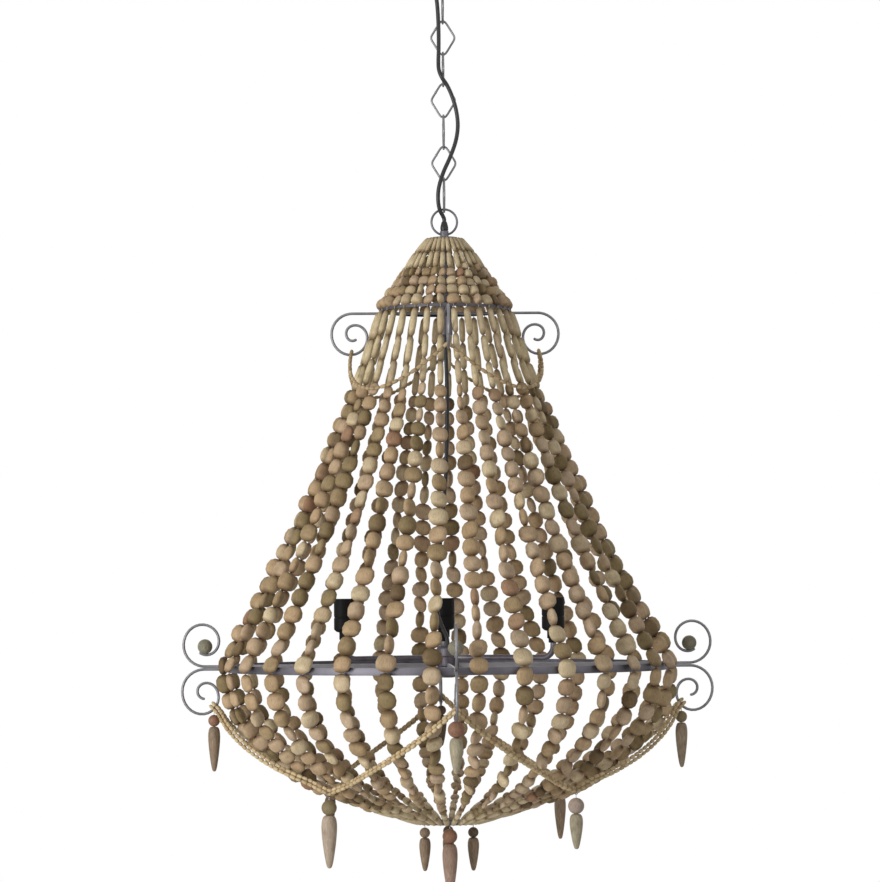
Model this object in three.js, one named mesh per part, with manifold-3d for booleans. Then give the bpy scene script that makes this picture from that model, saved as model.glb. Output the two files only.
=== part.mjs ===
// Beaded chandelier: threaded wooden beads over three metal rings, hung on a link chain.
// Millimetres, +Z up. The origin is the ceiling face of the plate that carries it,
// and everything hangs below. Scroll arms lie along X and Y.

import * as THREE from 'three';
import { mergeVertices } from 'three/addons/utils/BufferGeometryUtils.js';
import Module from 'manifold-3d';

const wasm = await Module();
wasm.setup();

// Fits
const clearance = 0.3;
const overrun = 2;

// Ceiling fitting
const plateRadius = 34;
const plateThickness = 3;
const plateScrewReach = 24;
const plateScrewRadius = 2.4;
const bossRadius = 9;
const bossHeight = 12;
const cupRadius = 50;
const cupHeight = 40;
const cupWall = 1.2;
const cupGlandReach = 18;
const hookStemRadius = 4;
const hookWireRadius = 2;
const hookEyeRadius = 9;
const hookEyeDrop = 67;
const nutRadius = 8.5;
const nutHeight = 6;
const glandRadius = 5.2;
const glandMouthRadius = 3.4;
const glandHeight = 12;
const glandNeckRadius = 3.6;

// Chain
const linkCount = 7;
const linkLength = 47.6;
const linkWidth = 33.4;
const linkWireRadius = 1.5;
const linkCornerShare = 0.36;

// Hanging ring, its collar and the stem inside the dome
const hangRingRadius = 16.7;
const hangRingWireRadius = 1.5;
const collarRadius = 5.6;
const collarHeight = 13;
const stemBoreRadius = 3;
const stemRadius = 4.6;

// Metal rings: outer radius, band height and band thickness
const crownRadius = 17.5;
const crownHeight = 4;
const upperRingRadius = 85;
const upperRingHeight = 4;
const upperRingThickness = 2.5;
const bigRingRadius = 287;
const bigRingHeight = 9.5;
const bigRingThickness = 3;
const bottomRingRadius = 33.7;
const bottomRingHeight = 4;
const bottomRingThickness = 4.7;

// Heights between the rings
const domeHeight = 97;
const skirtHeight = 460;
const bowlHeight = 201;

// Rods, scrolls and hubs
const rodRadius = 1.8;
const upperHubRadius = 9.8;
const upperHubHeight = 44;
const upperHubRise = 15;
const upperScrollReach = 121.5;
const upperScrollRadius = 27.3;
const armBarWidth = 3;
const ringSlotFloor = 1.8;
const lowerScrollOutset = 29;
const lowerScrollReach = bigRingRadius + lowerScrollOutset;
const lowerScrollRadius = 28.5;
const ballRadius = 8.2;
const lampHubRadius = 14.5;
const lampHubHeight = 42;
const lampHubRise = 28;

// Lamps
const lampCount = 3;
const lampReach = 153;
const lampArmRadius = 3.8;
const lampArmRise = 12;
const lampBendRadius = 15;
const socketNeckRadius = 6;
const socketNeckHeight = 16;
const socketRadius = 14.5;
const socketHeight = 42;
const socketBoreRadius = 12.5;
const socketBoreDepth = 30;
const socketShoulder = 3;

// Bead strands
const strandCount = 32;
const strandsPerGroup = 8;
const beadRadius = 12.5;
const wireRadius = 1.2;
const bandMargin = 1;
const ringSeatShare = 0.5;

// Swags and drops
const stringRadius = 2.8;
const upperSwagSag = 56;
const upperSwagBulge = 14;
const lowerSwagSag = 107;
const lowerSwagPull = 0.6;
const hangQuarterShare = 7 / 3;
const hangSpreadShare = 0.1;
const hangDivisions = 24;
const dropNeckRadius = 0.5;
const dropNeckLength = 4;
const longDrop = { length: 66, radius: 9.8, bead: 9.2 };
const slimDrop = { length: 58, radius: 7.8, bead: 7.4 };
const stoutDrop = { length: 44, radius: 8.4, bead: 9.8 };
const shortDrop = { length: 43, radius: 7.4, bead: 6.4 };

// Cables
const cableRadius = 2.65;

// Facets
const strandSides = 4;
const rodSides = 4;
const cableSides = 8;
const stringSides = 4;
const linkSides = 5;
const roundSegments = 20;
const smallSegments = 12;
const dropSides = 6;
const upperScrollSteps = 20;
const risingScrollSteps = 18;
const sinkingScrollSteps = 36;
const upperSwagSteps = 16;
const lowerSwagSteps = 24;
const supplyCableSteps = 26;
const lampCableSteps = 24;

// Finishes
const zinc = { color: '#67646b', roughness: 0.5, metalness: 0.8 };
const zincRod = { color: '#77767b', roughness: 0.45, metalness: 0.8 };
const black = { color: '#1c1b1b', roughness: 0.5, metalness: 0 };
const beadWood = { color: '#b19c80', roughness: 0.75, metalness: 0 };
const paleWood = { color: '#c9ba98', roughness: 0.75, metalness: 0 };
const dropWood = { color: '#8f7a66', roughness: 0.7, metalness: 0 };
const steel = { color: '#a6a6a6', roughness: 0.35, metalness: 0.9 };

const quarterTurn = Math.PI / 2;
const fullTurn = Math.PI * 2;
const up = new THREE.Vector3(0, 0, 1);
const chandelier = new THREE.Group();

// A point at a radius, an angle about the vertical axis and a height
function polar(radius, angle, z) {
  return new THREE.Vector3(radius * Math.cos(angle), radius * Math.sin(angle), z);
}

// Only positions, shared corners merged, no flat faces, all faces pointing out
function closedSolid(source) {
  const geometry = source.clone();
  geometry.deleteAttribute('normal');
  geometry.deleteAttribute('uv');
  const merged = mergeVertices(geometry);
  const position = merged.getAttribute('position');
  const kept = [];
  let volume = 0;
  for (let i = 0; i < merged.index.count; i += 3) {
    const corners = [0, 1, 2].map((j) => merged.index.getX(i + j));
    if (new Set(corners).size < 3) continue;
    kept.push(corners);
    const [a, b, c] = corners.map((n) => new THREE.Vector3().fromBufferAttribute(position, n));
    volume += a.dot(b.cross(c));
  }
  merged.setIndex(kept.flatMap(([a, b, c]) => (volume < 0 ? [a, c, b] : [a, b, c])));
  return merged;
}

function toManifold(geometry) {
  const solid = closedSolid(geometry);
  return new wasm.Manifold(new wasm.Mesh({
    numProp: 3,
    vertProperties: new Float32Array(solid.getAttribute('position').array),
    triVerts: new Uint32Array(solid.index.array),
  }));
}

function fromManifold(solid) {
  const mesh = solid.getMesh();
  const geometry = new THREE.BufferGeometry();
  geometry.setAttribute('position', new THREE.BufferAttribute(mesh.vertProperties, 3));
  geometry.setIndex([...mesh.triVerts]);
  return geometry;
}

function joined(...geometries) {
  return fromManifold(geometries.map(toManifold).reduce((a, b) => a.add(b)));
}

function cut(geometry, ...cutters) {
  return fromManifold(cutters.map(toManifold).reduce((a, b) => a.subtract(b), toManifold(geometry)));
}

// A profile of [radius, height] turned about the vertical axis
function turned(profile, segments = roundSegments) {
  const points = profile.map(([radius, height]) => new THREE.Vector2(radius, height));
  return new THREE.LatheGeometry(points, segments).rotateX(quarterTurn);
}

// A plain tube section between two heights, closed on itself
function turnedBand(outer, inner, bottom, top, segments = roundSegments) {
  return turned([[inner, bottom], [outer, bottom], [outer, top], [inner, top], [inner, bottom]], segments);
}

// A straight round bar along the vertical axis
function roundBar(radius, bottom, top, segments = smallSegments) {
  return turned([[0, bottom], [radius, bottom], [radius, top], [0, top]], segments);
}

// A rod swept through points, its radius given at each one. A planar path gives its plane's normal,
// and a loop gives one side direction for each point.
function swept(points, radii, sides, { closed = false, side = null } = {}) {
  const count = points.length;
  const positions = [];
  let across = null;
  for (let i = 0; i < count; i += 1) {
    const before = points[closed ? (i + count - 1) % count : Math.max(i - 1, 0)];
    const after = points[closed ? (i + 1) % count : Math.min(i + 1, count - 1)];
    const inward = new THREE.Vector3().subVectors(points[i], before);
    const outward = new THREE.Vector3().subVectors(after, points[i]);
    const along = inward.normalize().add(outward.normalize()).normalize();
    const guide = side ? (Array.isArray(side) ? side[i] : side) : (across ?? leastAligned(along));
    across = guide.clone().addScaledVector(along, -guide.dot(along)).normalize();
    const lift = new THREE.Vector3().crossVectors(along, across);
    const radius = Array.isArray(radii) ? radii[i] : radii;
    for (let j = 0; j < sides; j += 1) {
      const angle = (j / sides) * fullTurn;
      positions.push(points[i].clone()
        .addScaledVector(across, radius * Math.cos(angle))
        .addScaledVector(lift, radius * Math.sin(angle)));
    }
  }
  const index = [];
  for (let i = 0; i < (closed ? count : count - 1); i += 1) {
    const next = (i + 1) % count;
    for (let j = 0; j < sides; j += 1) {
      const k = (j + 1) % sides;
      index.push(i * sides + j, i * sides + k, next * sides + k);
      index.push(i * sides + j, next * sides + k, next * sides + j);
    }
  }
  const last = (count - 1) * sides;
  for (let j = 1; !closed && j < sides - 1; j += 1) {
    index.push(0, j + 1, j, last, last + j, last + j + 1);
  }
  const geometry = new THREE.BufferGeometry().setFromPoints(positions);
  geometry.setIndex(index);
  return closedSolid(geometry);
}

function leastAligned(direction) {
  const sizes = direction.toArray().map(Math.abs);
  const guide = new THREE.Vector3();
  guide.setComponent(sizes.indexOf(Math.min(...sizes)), 1);
  return guide;
}

// A cable of one diameter along a smooth curve
function cable(points, steps) {
  const section = new THREE.Shape();
  for (let j = 0; j < cableSides; j += 1) {
    const angle = (j / cableSides) * fullTurn;
    const corner = [cableRadius * Math.cos(angle), cableRadius * Math.sin(angle)];
    if (j === 0) section.moveTo(...corner);
    else section.lineTo(...corner);
  }
  const route = new THREE.CatmullRomCurve3(points);
  return new THREE.ExtrudeGeometry(section, { steps, extrudePath: route, bevelEnabled: false });
}

function place(name, geometry, finish) {
  const mesh = new THREE.Mesh(closedSolid(geometry), new THREE.MeshStandardMaterial(finish));
  mesh.name = name;
  chandelier.add(mesh);
  return mesh;
}

// Heights, worked down from the ceiling
const hookWireZ = -hookEyeDrop - hookEyeRadius;
const linkReach = linkLength / 2 - linkWireRadius;
const linkPitch = 2 * linkReach - 2 * linkWireRadius - clearance;
const firstLinkZ = hookWireZ + hookWireRadius + clearance + linkWireRadius - linkReach;
const lastLinkZ = firstLinkZ - (linkCount - 1) * linkPitch;
const lastWireZ = lastLinkZ - linkReach;
const hangRingZ = lastWireZ + linkWireRadius + clearance + hangRingWireRadius - hangRingRadius;
const glandTopZ = hangRingZ + glandMouthRadius - cableRadius;
const collarTopZ = glandTopZ - glandHeight - clearance;
const crownTopZ = collarTopZ - collarHeight + crownHeight + clearance;
const crownZ = crownTopZ - crownHeight / 2;
const upperRodZ = crownZ - domeHeight;
const upperRingZ = upperRodZ + rodRadius + clearance + upperRingHeight / 2;
const bigRingZ = upperRodZ - skirtHeight;
const bottomRingZ = bigRingZ - bowlHeight;

// Ceiling plate with a tapped boss and two screw holes
const bossBottomZ = -plateThickness - bossHeight;
const boreTopZ = -plateThickness;
const plate = turned([
  [0, 0],
  [plateRadius, 0],
  [plateRadius, -plateThickness],
  [bossRadius, -plateThickness],
  [bossRadius, bossBottomZ],
  [hookStemRadius + clearance, bossBottomZ],
  [hookStemRadius + clearance, boreTopZ],
  [0, boreTopZ],
]);
const screwHole = roundBar(plateScrewRadius, -plateThickness - overrun, overrun);
place('ceiling_plate', cut(
  plate,
  screwHole.clone().translate(plateScrewReach, 0, 0),
  screwHole.clone().translate(-plateScrewReach, 0, 0),
), steel);

// Ceiling cup: a pressed shell, its outline given as shares of its radius and height
const cupShares = [[1, 0], [1, 0.62], [0.94, 0.8], [0.8, 0.93], [0.62, 1]];
const cupHoleRadius = hookStemRadius + clearance;
const cupOutside = cupShares.map(([r, h]) => [cupRadius * r, -cupHeight * h]);
const cupInside = cupShares.map(([r, h]) => [
  cupRadius * r - cupWall,
  -(cupHeight - cupWall) * h,
]).reverse();
const cupShell = turned([
  ...cupOutside,
  [cupHoleRadius, -cupHeight],
  [cupHoleRadius, -cupHeight + cupWall],
  ...cupInside,
  cupOutside[0],
]);
const glandAngle = THREE.MathUtils.degToRad(222);
const cupGland = polar(cupGlandReach, glandAngle, -cupHeight);
const cupGlandHole = roundBar(glandNeckRadius + clearance, -overrun, cupWall + overrun)
  .translate(...cupGland);
place('ceiling_cup', cut(cupShell, cupGlandHole), zinc);

// The cable bush that is clipped in the cup's side hole
const bushFlangeHeight = 2.5;
const bushMouthDrop = 4.5;
place('cup_cable_bush', turned([
  [0, -bushFlangeHeight - bushMouthDrop],
  [glandMouthRadius, -bushFlangeHeight - bushMouthDrop],
  [glandRadius, -bushFlangeHeight - clearance],
  [glandRadius, -clearance],
  [glandNeckRadius, -clearance],
  [glandNeckRadius, bushMouthDrop],
  [0, bushMouthDrop],
], smallSegments).translate(...cupGland), black);

// Eye hook: a threaded stem in the boss, and an eye facing the front
const eye = new THREE.TorusGeometry(hookEyeRadius, hookWireRadius, 6, 16)
  .rotateX(quarterTurn)
  .translate(0, 0, -hookEyeDrop);
const eyeTopZ = -hookEyeDrop + hookEyeRadius;
const hookStem = turned([
  [0, eyeTopZ],
  [hookWireRadius, eyeTopZ],
  [hookStemRadius, eyeTopZ + hookStemRadius],
  [hookStemRadius, boreTopZ - clearance],
  [0, boreTopZ - clearance],
], smallSegments);
place('ceiling_hook', joined(eye, hookStem), steel);

// The nut that holds the cup up
const nutTopZ = -cupHeight - clearance;
const nutBottomZ = nutTopZ - nutHeight;
place('cup_nut', cut(
  roundBar(nutRadius, nutBottomZ, nutTopZ, 6),
  roundBar(cupHoleRadius, nutBottomZ - overrun, nutTopZ + overrun),
), steel);

// Chain links: bent wire diamonds with rounded corners, turned a quarter from one to the next
function linkOutline() {
  const tall = linkReach / (1 - linkCornerShare / 2);
  const wide = (linkWidth / 2 - linkWireRadius) / (1 - linkCornerShare / 2);
  const corners = [[0, tall], [wide, 0], [0, -tall], [-wide, 0]];
  const path = new THREE.Path();
  const toward = (from, to, share) => from.map((value, i) => value + (to[i] - value) * share);
  path.moveTo(...toward(corners[0], corners[3], linkCornerShare));
  corners.forEach((corner, i) => {
    const next = corners[(i + 1) % corners.length];
    path.quadraticCurveTo(...corner, ...toward(corner, next, linkCornerShare));
    if (i < corners.length - 1) path.lineTo(...toward(next, corner, linkCornerShare));
  });
  return path.getPoints(4);
}
const linkPoints = linkOutline().map((point) => new THREE.Vector3(0, point.x, point.y));
const linkWire = swept(linkPoints, linkWireRadius, linkSides, { closed: true, side: new THREE.Vector3(1, 0, 0) });
for (let n = 0; n < linkCount; n += 1) {
  const link = place(`chain_link_${n + 1}`, linkWire, zincRod);
  link.position.z = firstLinkZ - n * linkPitch;
  link.rotation.z = n % 2 === 0 ? 0 : quarterTurn;
}

// Hanging ring welded to a bored collar
const collarBottomZ = collarTopZ - collarHeight;
const hangRing = new THREE.TorusGeometry(hangRingRadius, hangRingWireRadius, 6, roundSegments)
  .rotateX(quarterTurn)
  .translate(0, 0, hangRingZ);
place('hanging_ring', cut(
  joined(hangRing, roundBar(collarRadius, collarBottomZ, collarTopZ)),
  roundBar(stemBoreRadius, collarBottomZ - overrun, collarTopZ + overrun),
), zinc);

// The gland that grips the supply cable on top of the collar
place('stem_cable_gland', turned([
  [0, collarTopZ + clearance],
  [glandRadius, collarTopZ + clearance],
  [glandRadius, collarTopZ + glandHeight / 2],
  [glandMouthRadius, glandTopZ],
  [0, glandTopZ],
], smallSegments), black);

// Crown ring, stem and the hub of the upper arms
place('crown_ring', turnedBand(
  crownRadius,
  collarRadius + clearance,
  crownTopZ - crownHeight,
  crownTopZ,
  strandCount,
), zinc);
const upperHubTopZ = upperRodZ + upperHubRise;
const upperHubBottomZ = upperHubTopZ - upperHubHeight;
place('centre_stem', turnedBand(
  stemRadius,
  stemBoreRadius,
  upperHubTopZ + clearance,
  collarBottomZ - clearance,
  smallSegments,
), zinc);
place('upper_hub', turnedBand(upperHubRadius, stemBoreRadius, upperHubBottomZ, upperHubTopZ), zinc);

// A scroll in a vertical plane, as [reach, height] about its centre. Its radius shrinks by shares,
// one for each quarter turn, and turnSide is 1 for a scroll that rises and -1 for one that sinks.
function scrollPoints(centreReach, centreZ, radius, radiusShares, turnSide, steps) {
  const shares = new THREE.SplineCurve(radiusShares.map((share, i) => new THREE.Vector2(i, share)));
  return Array.from({ length: steps + 1 }, (_, i) => {
    const at = i / steps;
    const quarter = at * (radiusShares.length - 1);
    const reach = radius * shares.getPoint(at).y;
    const angle = quarter * quarterTurn;
    return new THREE.Vector3(
      centreReach + reach * Math.sin(angle),
      0,
      centreZ - turnSide * reach * Math.cos(angle),
    );
  });
}
const armPlaneNormal = new THREE.Vector3(0, 1, 0);

// Upper arms: a rod from the hub, under the ring, to one scroll that curls down and in
const upperScrollShares = [1, 0.97, 0.97, 0.71, 0.42, 0.27, 0.3];
const upperScrollZ = upperRodZ - upperScrollRadius;
const upperArm = swept([
  new THREE.Vector3(upperHubRadius + clearance, 0, upperRodZ),
  new THREE.Vector3(upperRingRadius, 0, upperRodZ),
  ...scrollPoints(upperScrollReach, upperScrollZ, upperScrollRadius, upperScrollShares, -1, upperScrollSteps),
], rodRadius, rodSides, { side: armPlaneNormal });

// Lower arms: a bar on edge from the lamp hub, through a slot in the big ring, to a pair of scrolls
const armTopZ = bigRingZ + bigRingHeight / 2;
const armBottomZ = bigRingZ - bigRingHeight / 2 + ringSlotFloor + clearance;
const armBarHeight = armTopZ - armBottomZ;
const risingRodZ = armTopZ - rodRadius;
const sinkingRodZ = armBottomZ + rodRadius;
const armBarStart = lampHubRadius + clearance;
const armBarEnd = bigRingRadius + bigRingThickness;
const risingScrollShares = [1, 0.91, 0.9, 0.68, 0.46, 0.36];
const sinkingScrollShares = [1, 0.98, 1.02, 0.62, 0.37, 0.29, 0.33];
const risingScrollZ = risingRodZ + lowerScrollRadius;
const sinkingScrollZ = sinkingRodZ - lowerScrollRadius;
const risingScrollPoints = scrollPoints(
  lowerScrollReach,
  risingScrollZ,
  lowerScrollRadius,
  risingScrollShares,
  1,
  risingScrollSteps,
);
const armBar = new THREE.BoxGeometry(armBarEnd - armBarStart, armBarWidth, armBarHeight)
  .translate((armBarStart + armBarEnd) / 2, 0, (armTopZ + armBottomZ) / 2);
const risingScroll = swept([
  new THREE.Vector3(bigRingRadius, 0, risingRodZ),
  ...risingScrollPoints,
], rodRadius, rodSides, { side: armPlaneNormal });
const sinkingScroll = swept([
  new THREE.Vector3(bigRingRadius, 0, sinkingRodZ),
  ...scrollPoints(
    lowerScrollReach,
    sinkingScrollZ,
    lowerScrollRadius,
    sinkingScrollShares,
    -1,
    sinkingScrollSteps,
  ),
], rodRadius, rodSides, { side: armPlaneNormal });

const lowerArm = joined(armBar, risingScroll, sinkingScroll);

// A wooden ball in the middle of the rising scroll, glued to its inner end
const ballProfile = new THREE.Path();
ballProfile.absarc(0, 0, ballRadius, -quarterTurn, quarterTurn, false);
const ballRound = turned(ballProfile.getPoints(6).map((point) => [Math.abs(point.x), point.y]), smallSegments);
const ball = ballRound.translate(lowerScrollReach, 0, risingScrollZ);

for (let n = 0; n < 4; n += 1) {
  const turn = n * quarterTurn;
  place(`upper_scroll_arm_${n + 1}`, upperArm, zincRod).rotation.z = turn;
  place(`lower_scroll_arm_${n + 1}`, lowerArm, zincRod).rotation.z = turn;
  place(`scroll_ball_${n + 1}`, ball, dropWood).rotation.z = turn;
}

// Upper ring on the arms, big ring slotted for them, and the bottom ring
place('upper_ring', turnedBand(
  upperRingRadius,
  upperRingRadius - upperRingThickness,
  upperRingZ - upperRingHeight / 2,
  upperRingZ + upperRingHeight / 2,
  strandCount,
).rotateZ(Math.PI / strandCount), zinc);
const slotHeight = bigRingHeight - ringSlotFloor + overrun;
const slots = [0, 1].map((n) => new THREE.BoxGeometry(
  2 * (bigRingRadius + overrun),
  2 * (rodRadius + clearance),
  slotHeight,
).translate(0, 0, armTopZ + overrun - slotHeight / 2).rotateZ(n * quarterTurn));
const bigBand = turnedBand(
  bigRingRadius,
  bigRingRadius - bigRingThickness,
  bigRingZ - bigRingHeight / 2,
  bigRingZ + bigRingHeight / 2,
  strandCount,
).rotateZ(Math.PI / strandCount);
place('big_ring', cut(bigBand, ...slots), zinc);
place('bottom_ring', turnedBand(
  bottomRingRadius,
  bottomRingRadius - bottomRingThickness,
  bottomRingZ - bottomRingHeight / 2,
  bottomRingZ + bottomRingHeight / 2,
  strandCount,
), zinc);

// Lamp hub, gooseneck arms and candle sockets
const lampHubTopZ = bigRingZ + lampHubRise;
const lampHubBottomZ = lampHubTopZ - lampHubHeight;
const hubChamfer = lampHubRadius / 4;
place('lamp_hub', turned([
  [0, lampHubBottomZ],
  [lampHubRadius - hubChamfer, lampHubBottomZ],
  [lampHubRadius, lampHubBottomZ + hubChamfer],
  [lampHubRadius, lampHubTopZ - hubChamfer],
  [lampHubRadius - hubChamfer, lampHubTopZ],
  [0, lampHubTopZ],
]), zinc);
const lampArmZ = bigRingZ + lampArmRise;
const lampArmTopZ = lampArmZ + lampBendRadius + lampArmRadius;
const neckBottomZ = lampArmTopZ + clearance;
const bendSteps = 5;
const lampBend = Array.from({ length: bendSteps + 1 }, (_, i) => {
  const angle = (i / bendSteps) * quarterTurn;
  return new THREE.Vector3(
    lampReach - lampBendRadius + lampBendRadius * Math.sin(angle),
    0,
    lampArmZ + lampBendRadius * (1 - Math.cos(angle)),
  );
});
const lampArm = swept([
  new THREE.Vector3(lampHubRadius + clearance, 0, lampArmZ),
  ...lampBend,
  new THREE.Vector3(lampReach, 0, lampArmTopZ),
], lampArmRadius, 6, { side: armPlaneNormal });
const socketBottomZ = neckBottomZ + socketNeckHeight;
const socketTopZ = socketBottomZ + socketHeight;
const socket = turned([
  [0, neckBottomZ],
  [socketNeckRadius, neckBottomZ],
  [socketNeckRadius, socketBottomZ],
  [socketRadius - socketShoulder, socketBottomZ],
  [socketRadius, socketBottomZ + socketShoulder],
  [socketRadius, socketTopZ],
  [socketBoreRadius, socketTopZ],
  [socketBoreRadius, socketTopZ - socketBoreDepth],
  [0, socketTopZ - socketBoreDepth],
], smallSegments);
for (let n = 0; n < lampCount; n += 1) {
  const turn = quarterTurn + (n / lampCount) * fullTurn;
  place(`lamp_arm_${n + 1}`, lampArm, zinc).rotation.z = turn;
  place(`lamp_socket_${n + 1}`, socket, black).position.copy(polar(lampReach, turn, 0));
}

// Bead strands. Each run is an outline of [height share down, radius share], and the tables under it
// give the strand's thickness as shares of the bead radius at shares of the run.
const domeShares = [[0, 0], [0.25, 0.25], [0.5, 0.48], [0.75, 0.73], [1, 1]];
const skirtShares = [[0, 0], [0.21, 0.157], [0.43, 0.356], [0.65, 0.578], [0.87, 0.838], [1, 1]];
const bowlShares = [
  [0, 0], [0.09, 0.012], [0.29, 0.067], [0.53, 0.224], [0.74, 0.44], [0.87, 0.677], [0.96, 0.9], [1, 1],
];
const domeBeadShares = [[0.06, 0.12], [0.4, 0.26], [0.7, 0.4], [0.93, 0.5]];
const skirtBeadShares = [
  [0.03, 0.3], [0.17, 0.34], [0.24, 0.6], [0.4, 0.76], [0.6, 0.86], [0.8, 0.86], [0.97, 0.86],
];
const bowlBeadShares = [
  [0.04, 0.86], [0.22, 0.84], [0.4, 0.8], [0.56, 0.68], [0.7, 0.5], [0.83, 0.34], [0.94, 0.2],
];
const strandAngle = fullTurn / strandCount;
const turnSpread = Math.cos(strandAngle / 2) - Math.sin(strandAngle / 2);
const crownTurnRadius = (crownRadius + clearance + wireRadius) / turnSpread;
const bottomTurnRadius = (bottomRingRadius + clearance + wireRadius) / turnSpread;
const upperWireRadius = upperRingRadius + clearance + wireRadius;
const bigSeatRadius = ringSeatShare * beadRadius;
const bigWireRadius = bigRingRadius + clearance + bigSeatRadius;
const upperBandTopZ = upperRingZ + upperRingHeight / 2 + bandMargin;
const upperBandBottomZ = upperRingZ - upperRingHeight / 2 - bandMargin;
const bigBandTopZ = bigRingZ + bigRingHeight / 2 + bandMargin;
const bigBandBottomZ = bigRingZ - bigRingHeight / 2 - bandMargin;

function outlineCurve(shares, topRadius, topZ, endRadius, endZ) {
  return new THREE.SplineCurve(shares.map(([down, out]) => new THREE.Vector2(
    topRadius + (endRadius - topRadius) * out,
    topZ + (endZ - topZ) * down,
  )));
}
const domeCurve = outlineCurve(domeShares, crownTurnRadius, crownZ, upperWireRadius, upperBandTopZ);
const skirtCurve = outlineCurve(skirtShares, upperWireRadius, upperBandBottomZ, bigWireRadius, bigBandTopZ);
const bowlCurve = outlineCurve(bowlShares, bigWireRadius, bigBandBottomZ, bottomTurnRadius, bottomRingZ);

// One strand from the crown to the bottom, as [radius, height, thickness]. Its beads rest on the big ring.
const strandRun = [
  [domeCurve, domeBeadShares, wireRadius, wireRadius],
  [skirtCurve, skirtBeadShares, wireRadius, bigSeatRadius],
  [bowlCurve, bowlBeadShares, bigSeatRadius, wireRadius],
].flatMap(([curve, beads, startThickness, endThickness]) => {
  const start = curve.getPoint(0);
  const end = curve.getPoint(1);
  const middle = beads.map(([at, share]) => {
    const point = curve.getPointAt(at);
    return [point.x, point.y, share * beadRadius];
  });
  return [[start.x, start.y, startThickness], ...middle, [end.x, end.y, endThickness]];
});

// A half turn of bare wire from one strand to the next, inside both
function wireTurn(radius, angle, z) {
  const middle = polar(radius * Math.cos(strandAngle / 2), angle + strandAngle / 2, z);
  const inward = polar(-1, angle + strandAngle / 2, 0);
  const sideways = polar(1, angle + strandAngle / 2 + quarterTurn, 0);
  const reach = radius * Math.sin(strandAngle / 2);
  return [1, 2, 3].map((n) => {
    const swing = (n / 4) * Math.PI;
    return middle.clone()
      .addScaledVector(inward, reach * Math.sin(swing))
      .addScaledVector(sideways, -reach * Math.cos(swing));
  });
}

// One wire threads a group of strands, down one and up the next
for (let group = 0; group < strandCount / strandsPerGroup; group += 1) {
  const points = [];
  const radii = [];
  for (let n = 0; n < strandsPerGroup; n += 1) {
    const angle = (group * strandsPerGroup + n + 1 / 2) * strandAngle;
    const down = n % 2 === 0;
    const run = down ? strandRun : [...strandRun].reverse();
    run.forEach(([radius, z, thickness]) => {
      points.push(polar(radius, angle, z));
      radii.push(thickness);
    });
    if (n === strandsPerGroup - 1) continue;
    const turn = down
      ? wireTurn(bottomTurnRadius, angle, bottomRingZ)
      : wireTurn(crownTurnRadius, angle, crownZ);
    points.push(...turn);
    radii.push(...turn.map(() => wireRadius));
  }
  place(`bead_strands_${group + 1}`, swept(points, radii, strandSides), beadWood);
}

// A string that makes four swags, laid over the rod of each scroll. hang gives a point of one swag.
function swagLoop(steps, hang) {
  const points = [];
  const sides = [];
  for (let n = 0; n < 4; n += 1) {
    for (let i = 0; i < steps; i += 1) {
      const point = hang(i / steps).applyAxisAngle(up, n * quarterTurn);
      points.push(point);
      sides.push(new THREE.Vector3(point.x, point.y, 0).normalize());
    }
  }
  return swept(points, stringRadius, stringSides, { closed: true, side: sides });
}

// The outer edge of a stretch of the strands with room for a string on it: gives the reach at a height
function strandEdge(run) {
  const edge = run.map(([radius, z, thickness], i) => {
    const [beforeRadius, beforeZ] = run[Math.max(i - 1, 0)];
    const [afterRadius, afterZ] = run[Math.min(i + 1, run.length - 1)];
    const out = new THREE.Vector2(beforeZ - afterZ, afterRadius - beforeRadius);
    out.setLength(thickness + stringRadius + 2 * clearance);
    return [radius + out.x, z + out.y];
  });
  return (z) => {
    const below = Math.max(edge.findIndex(([, height]) => height < z), 1);
    const [[topReach, topZ], [lowReach, lowZ]] = edge.slice(below - 1, below + 1);
    return topReach + ((lowReach - topReach) * (topZ - z)) / (topZ - lowZ);
  };
}
const bowlStart = strandRun.length - bowlBeadShares.length - 2;
const skirtEdgeReach = strandEdge(strandRun.slice(domeBeadShares.length + 2, bowlStart));
const bowlEdgeReach = strandEdge(strandRun.slice(bowlStart));

// The upper swags lie on the strands
const upperStringRest = rodRadius + clearance + stringRadius * Math.SQRT2;
const upperSwagTopZ = upperScrollZ - upperScrollRadius * upperScrollShares[2] + upperStringRest;
place('upper_swag_string', swagLoop(upperSwagSteps, (share) => {
  const dip = Math.sin(share * Math.PI);
  const z = upperSwagTopZ - upperSwagSag * dip;
  const reach = Math.max(upperScrollReach + upperSwagBulge * dip, skirtEdgeReach(z));
  return polar(reach, share * quarterTurn, z);
}), paleWood);

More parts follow.
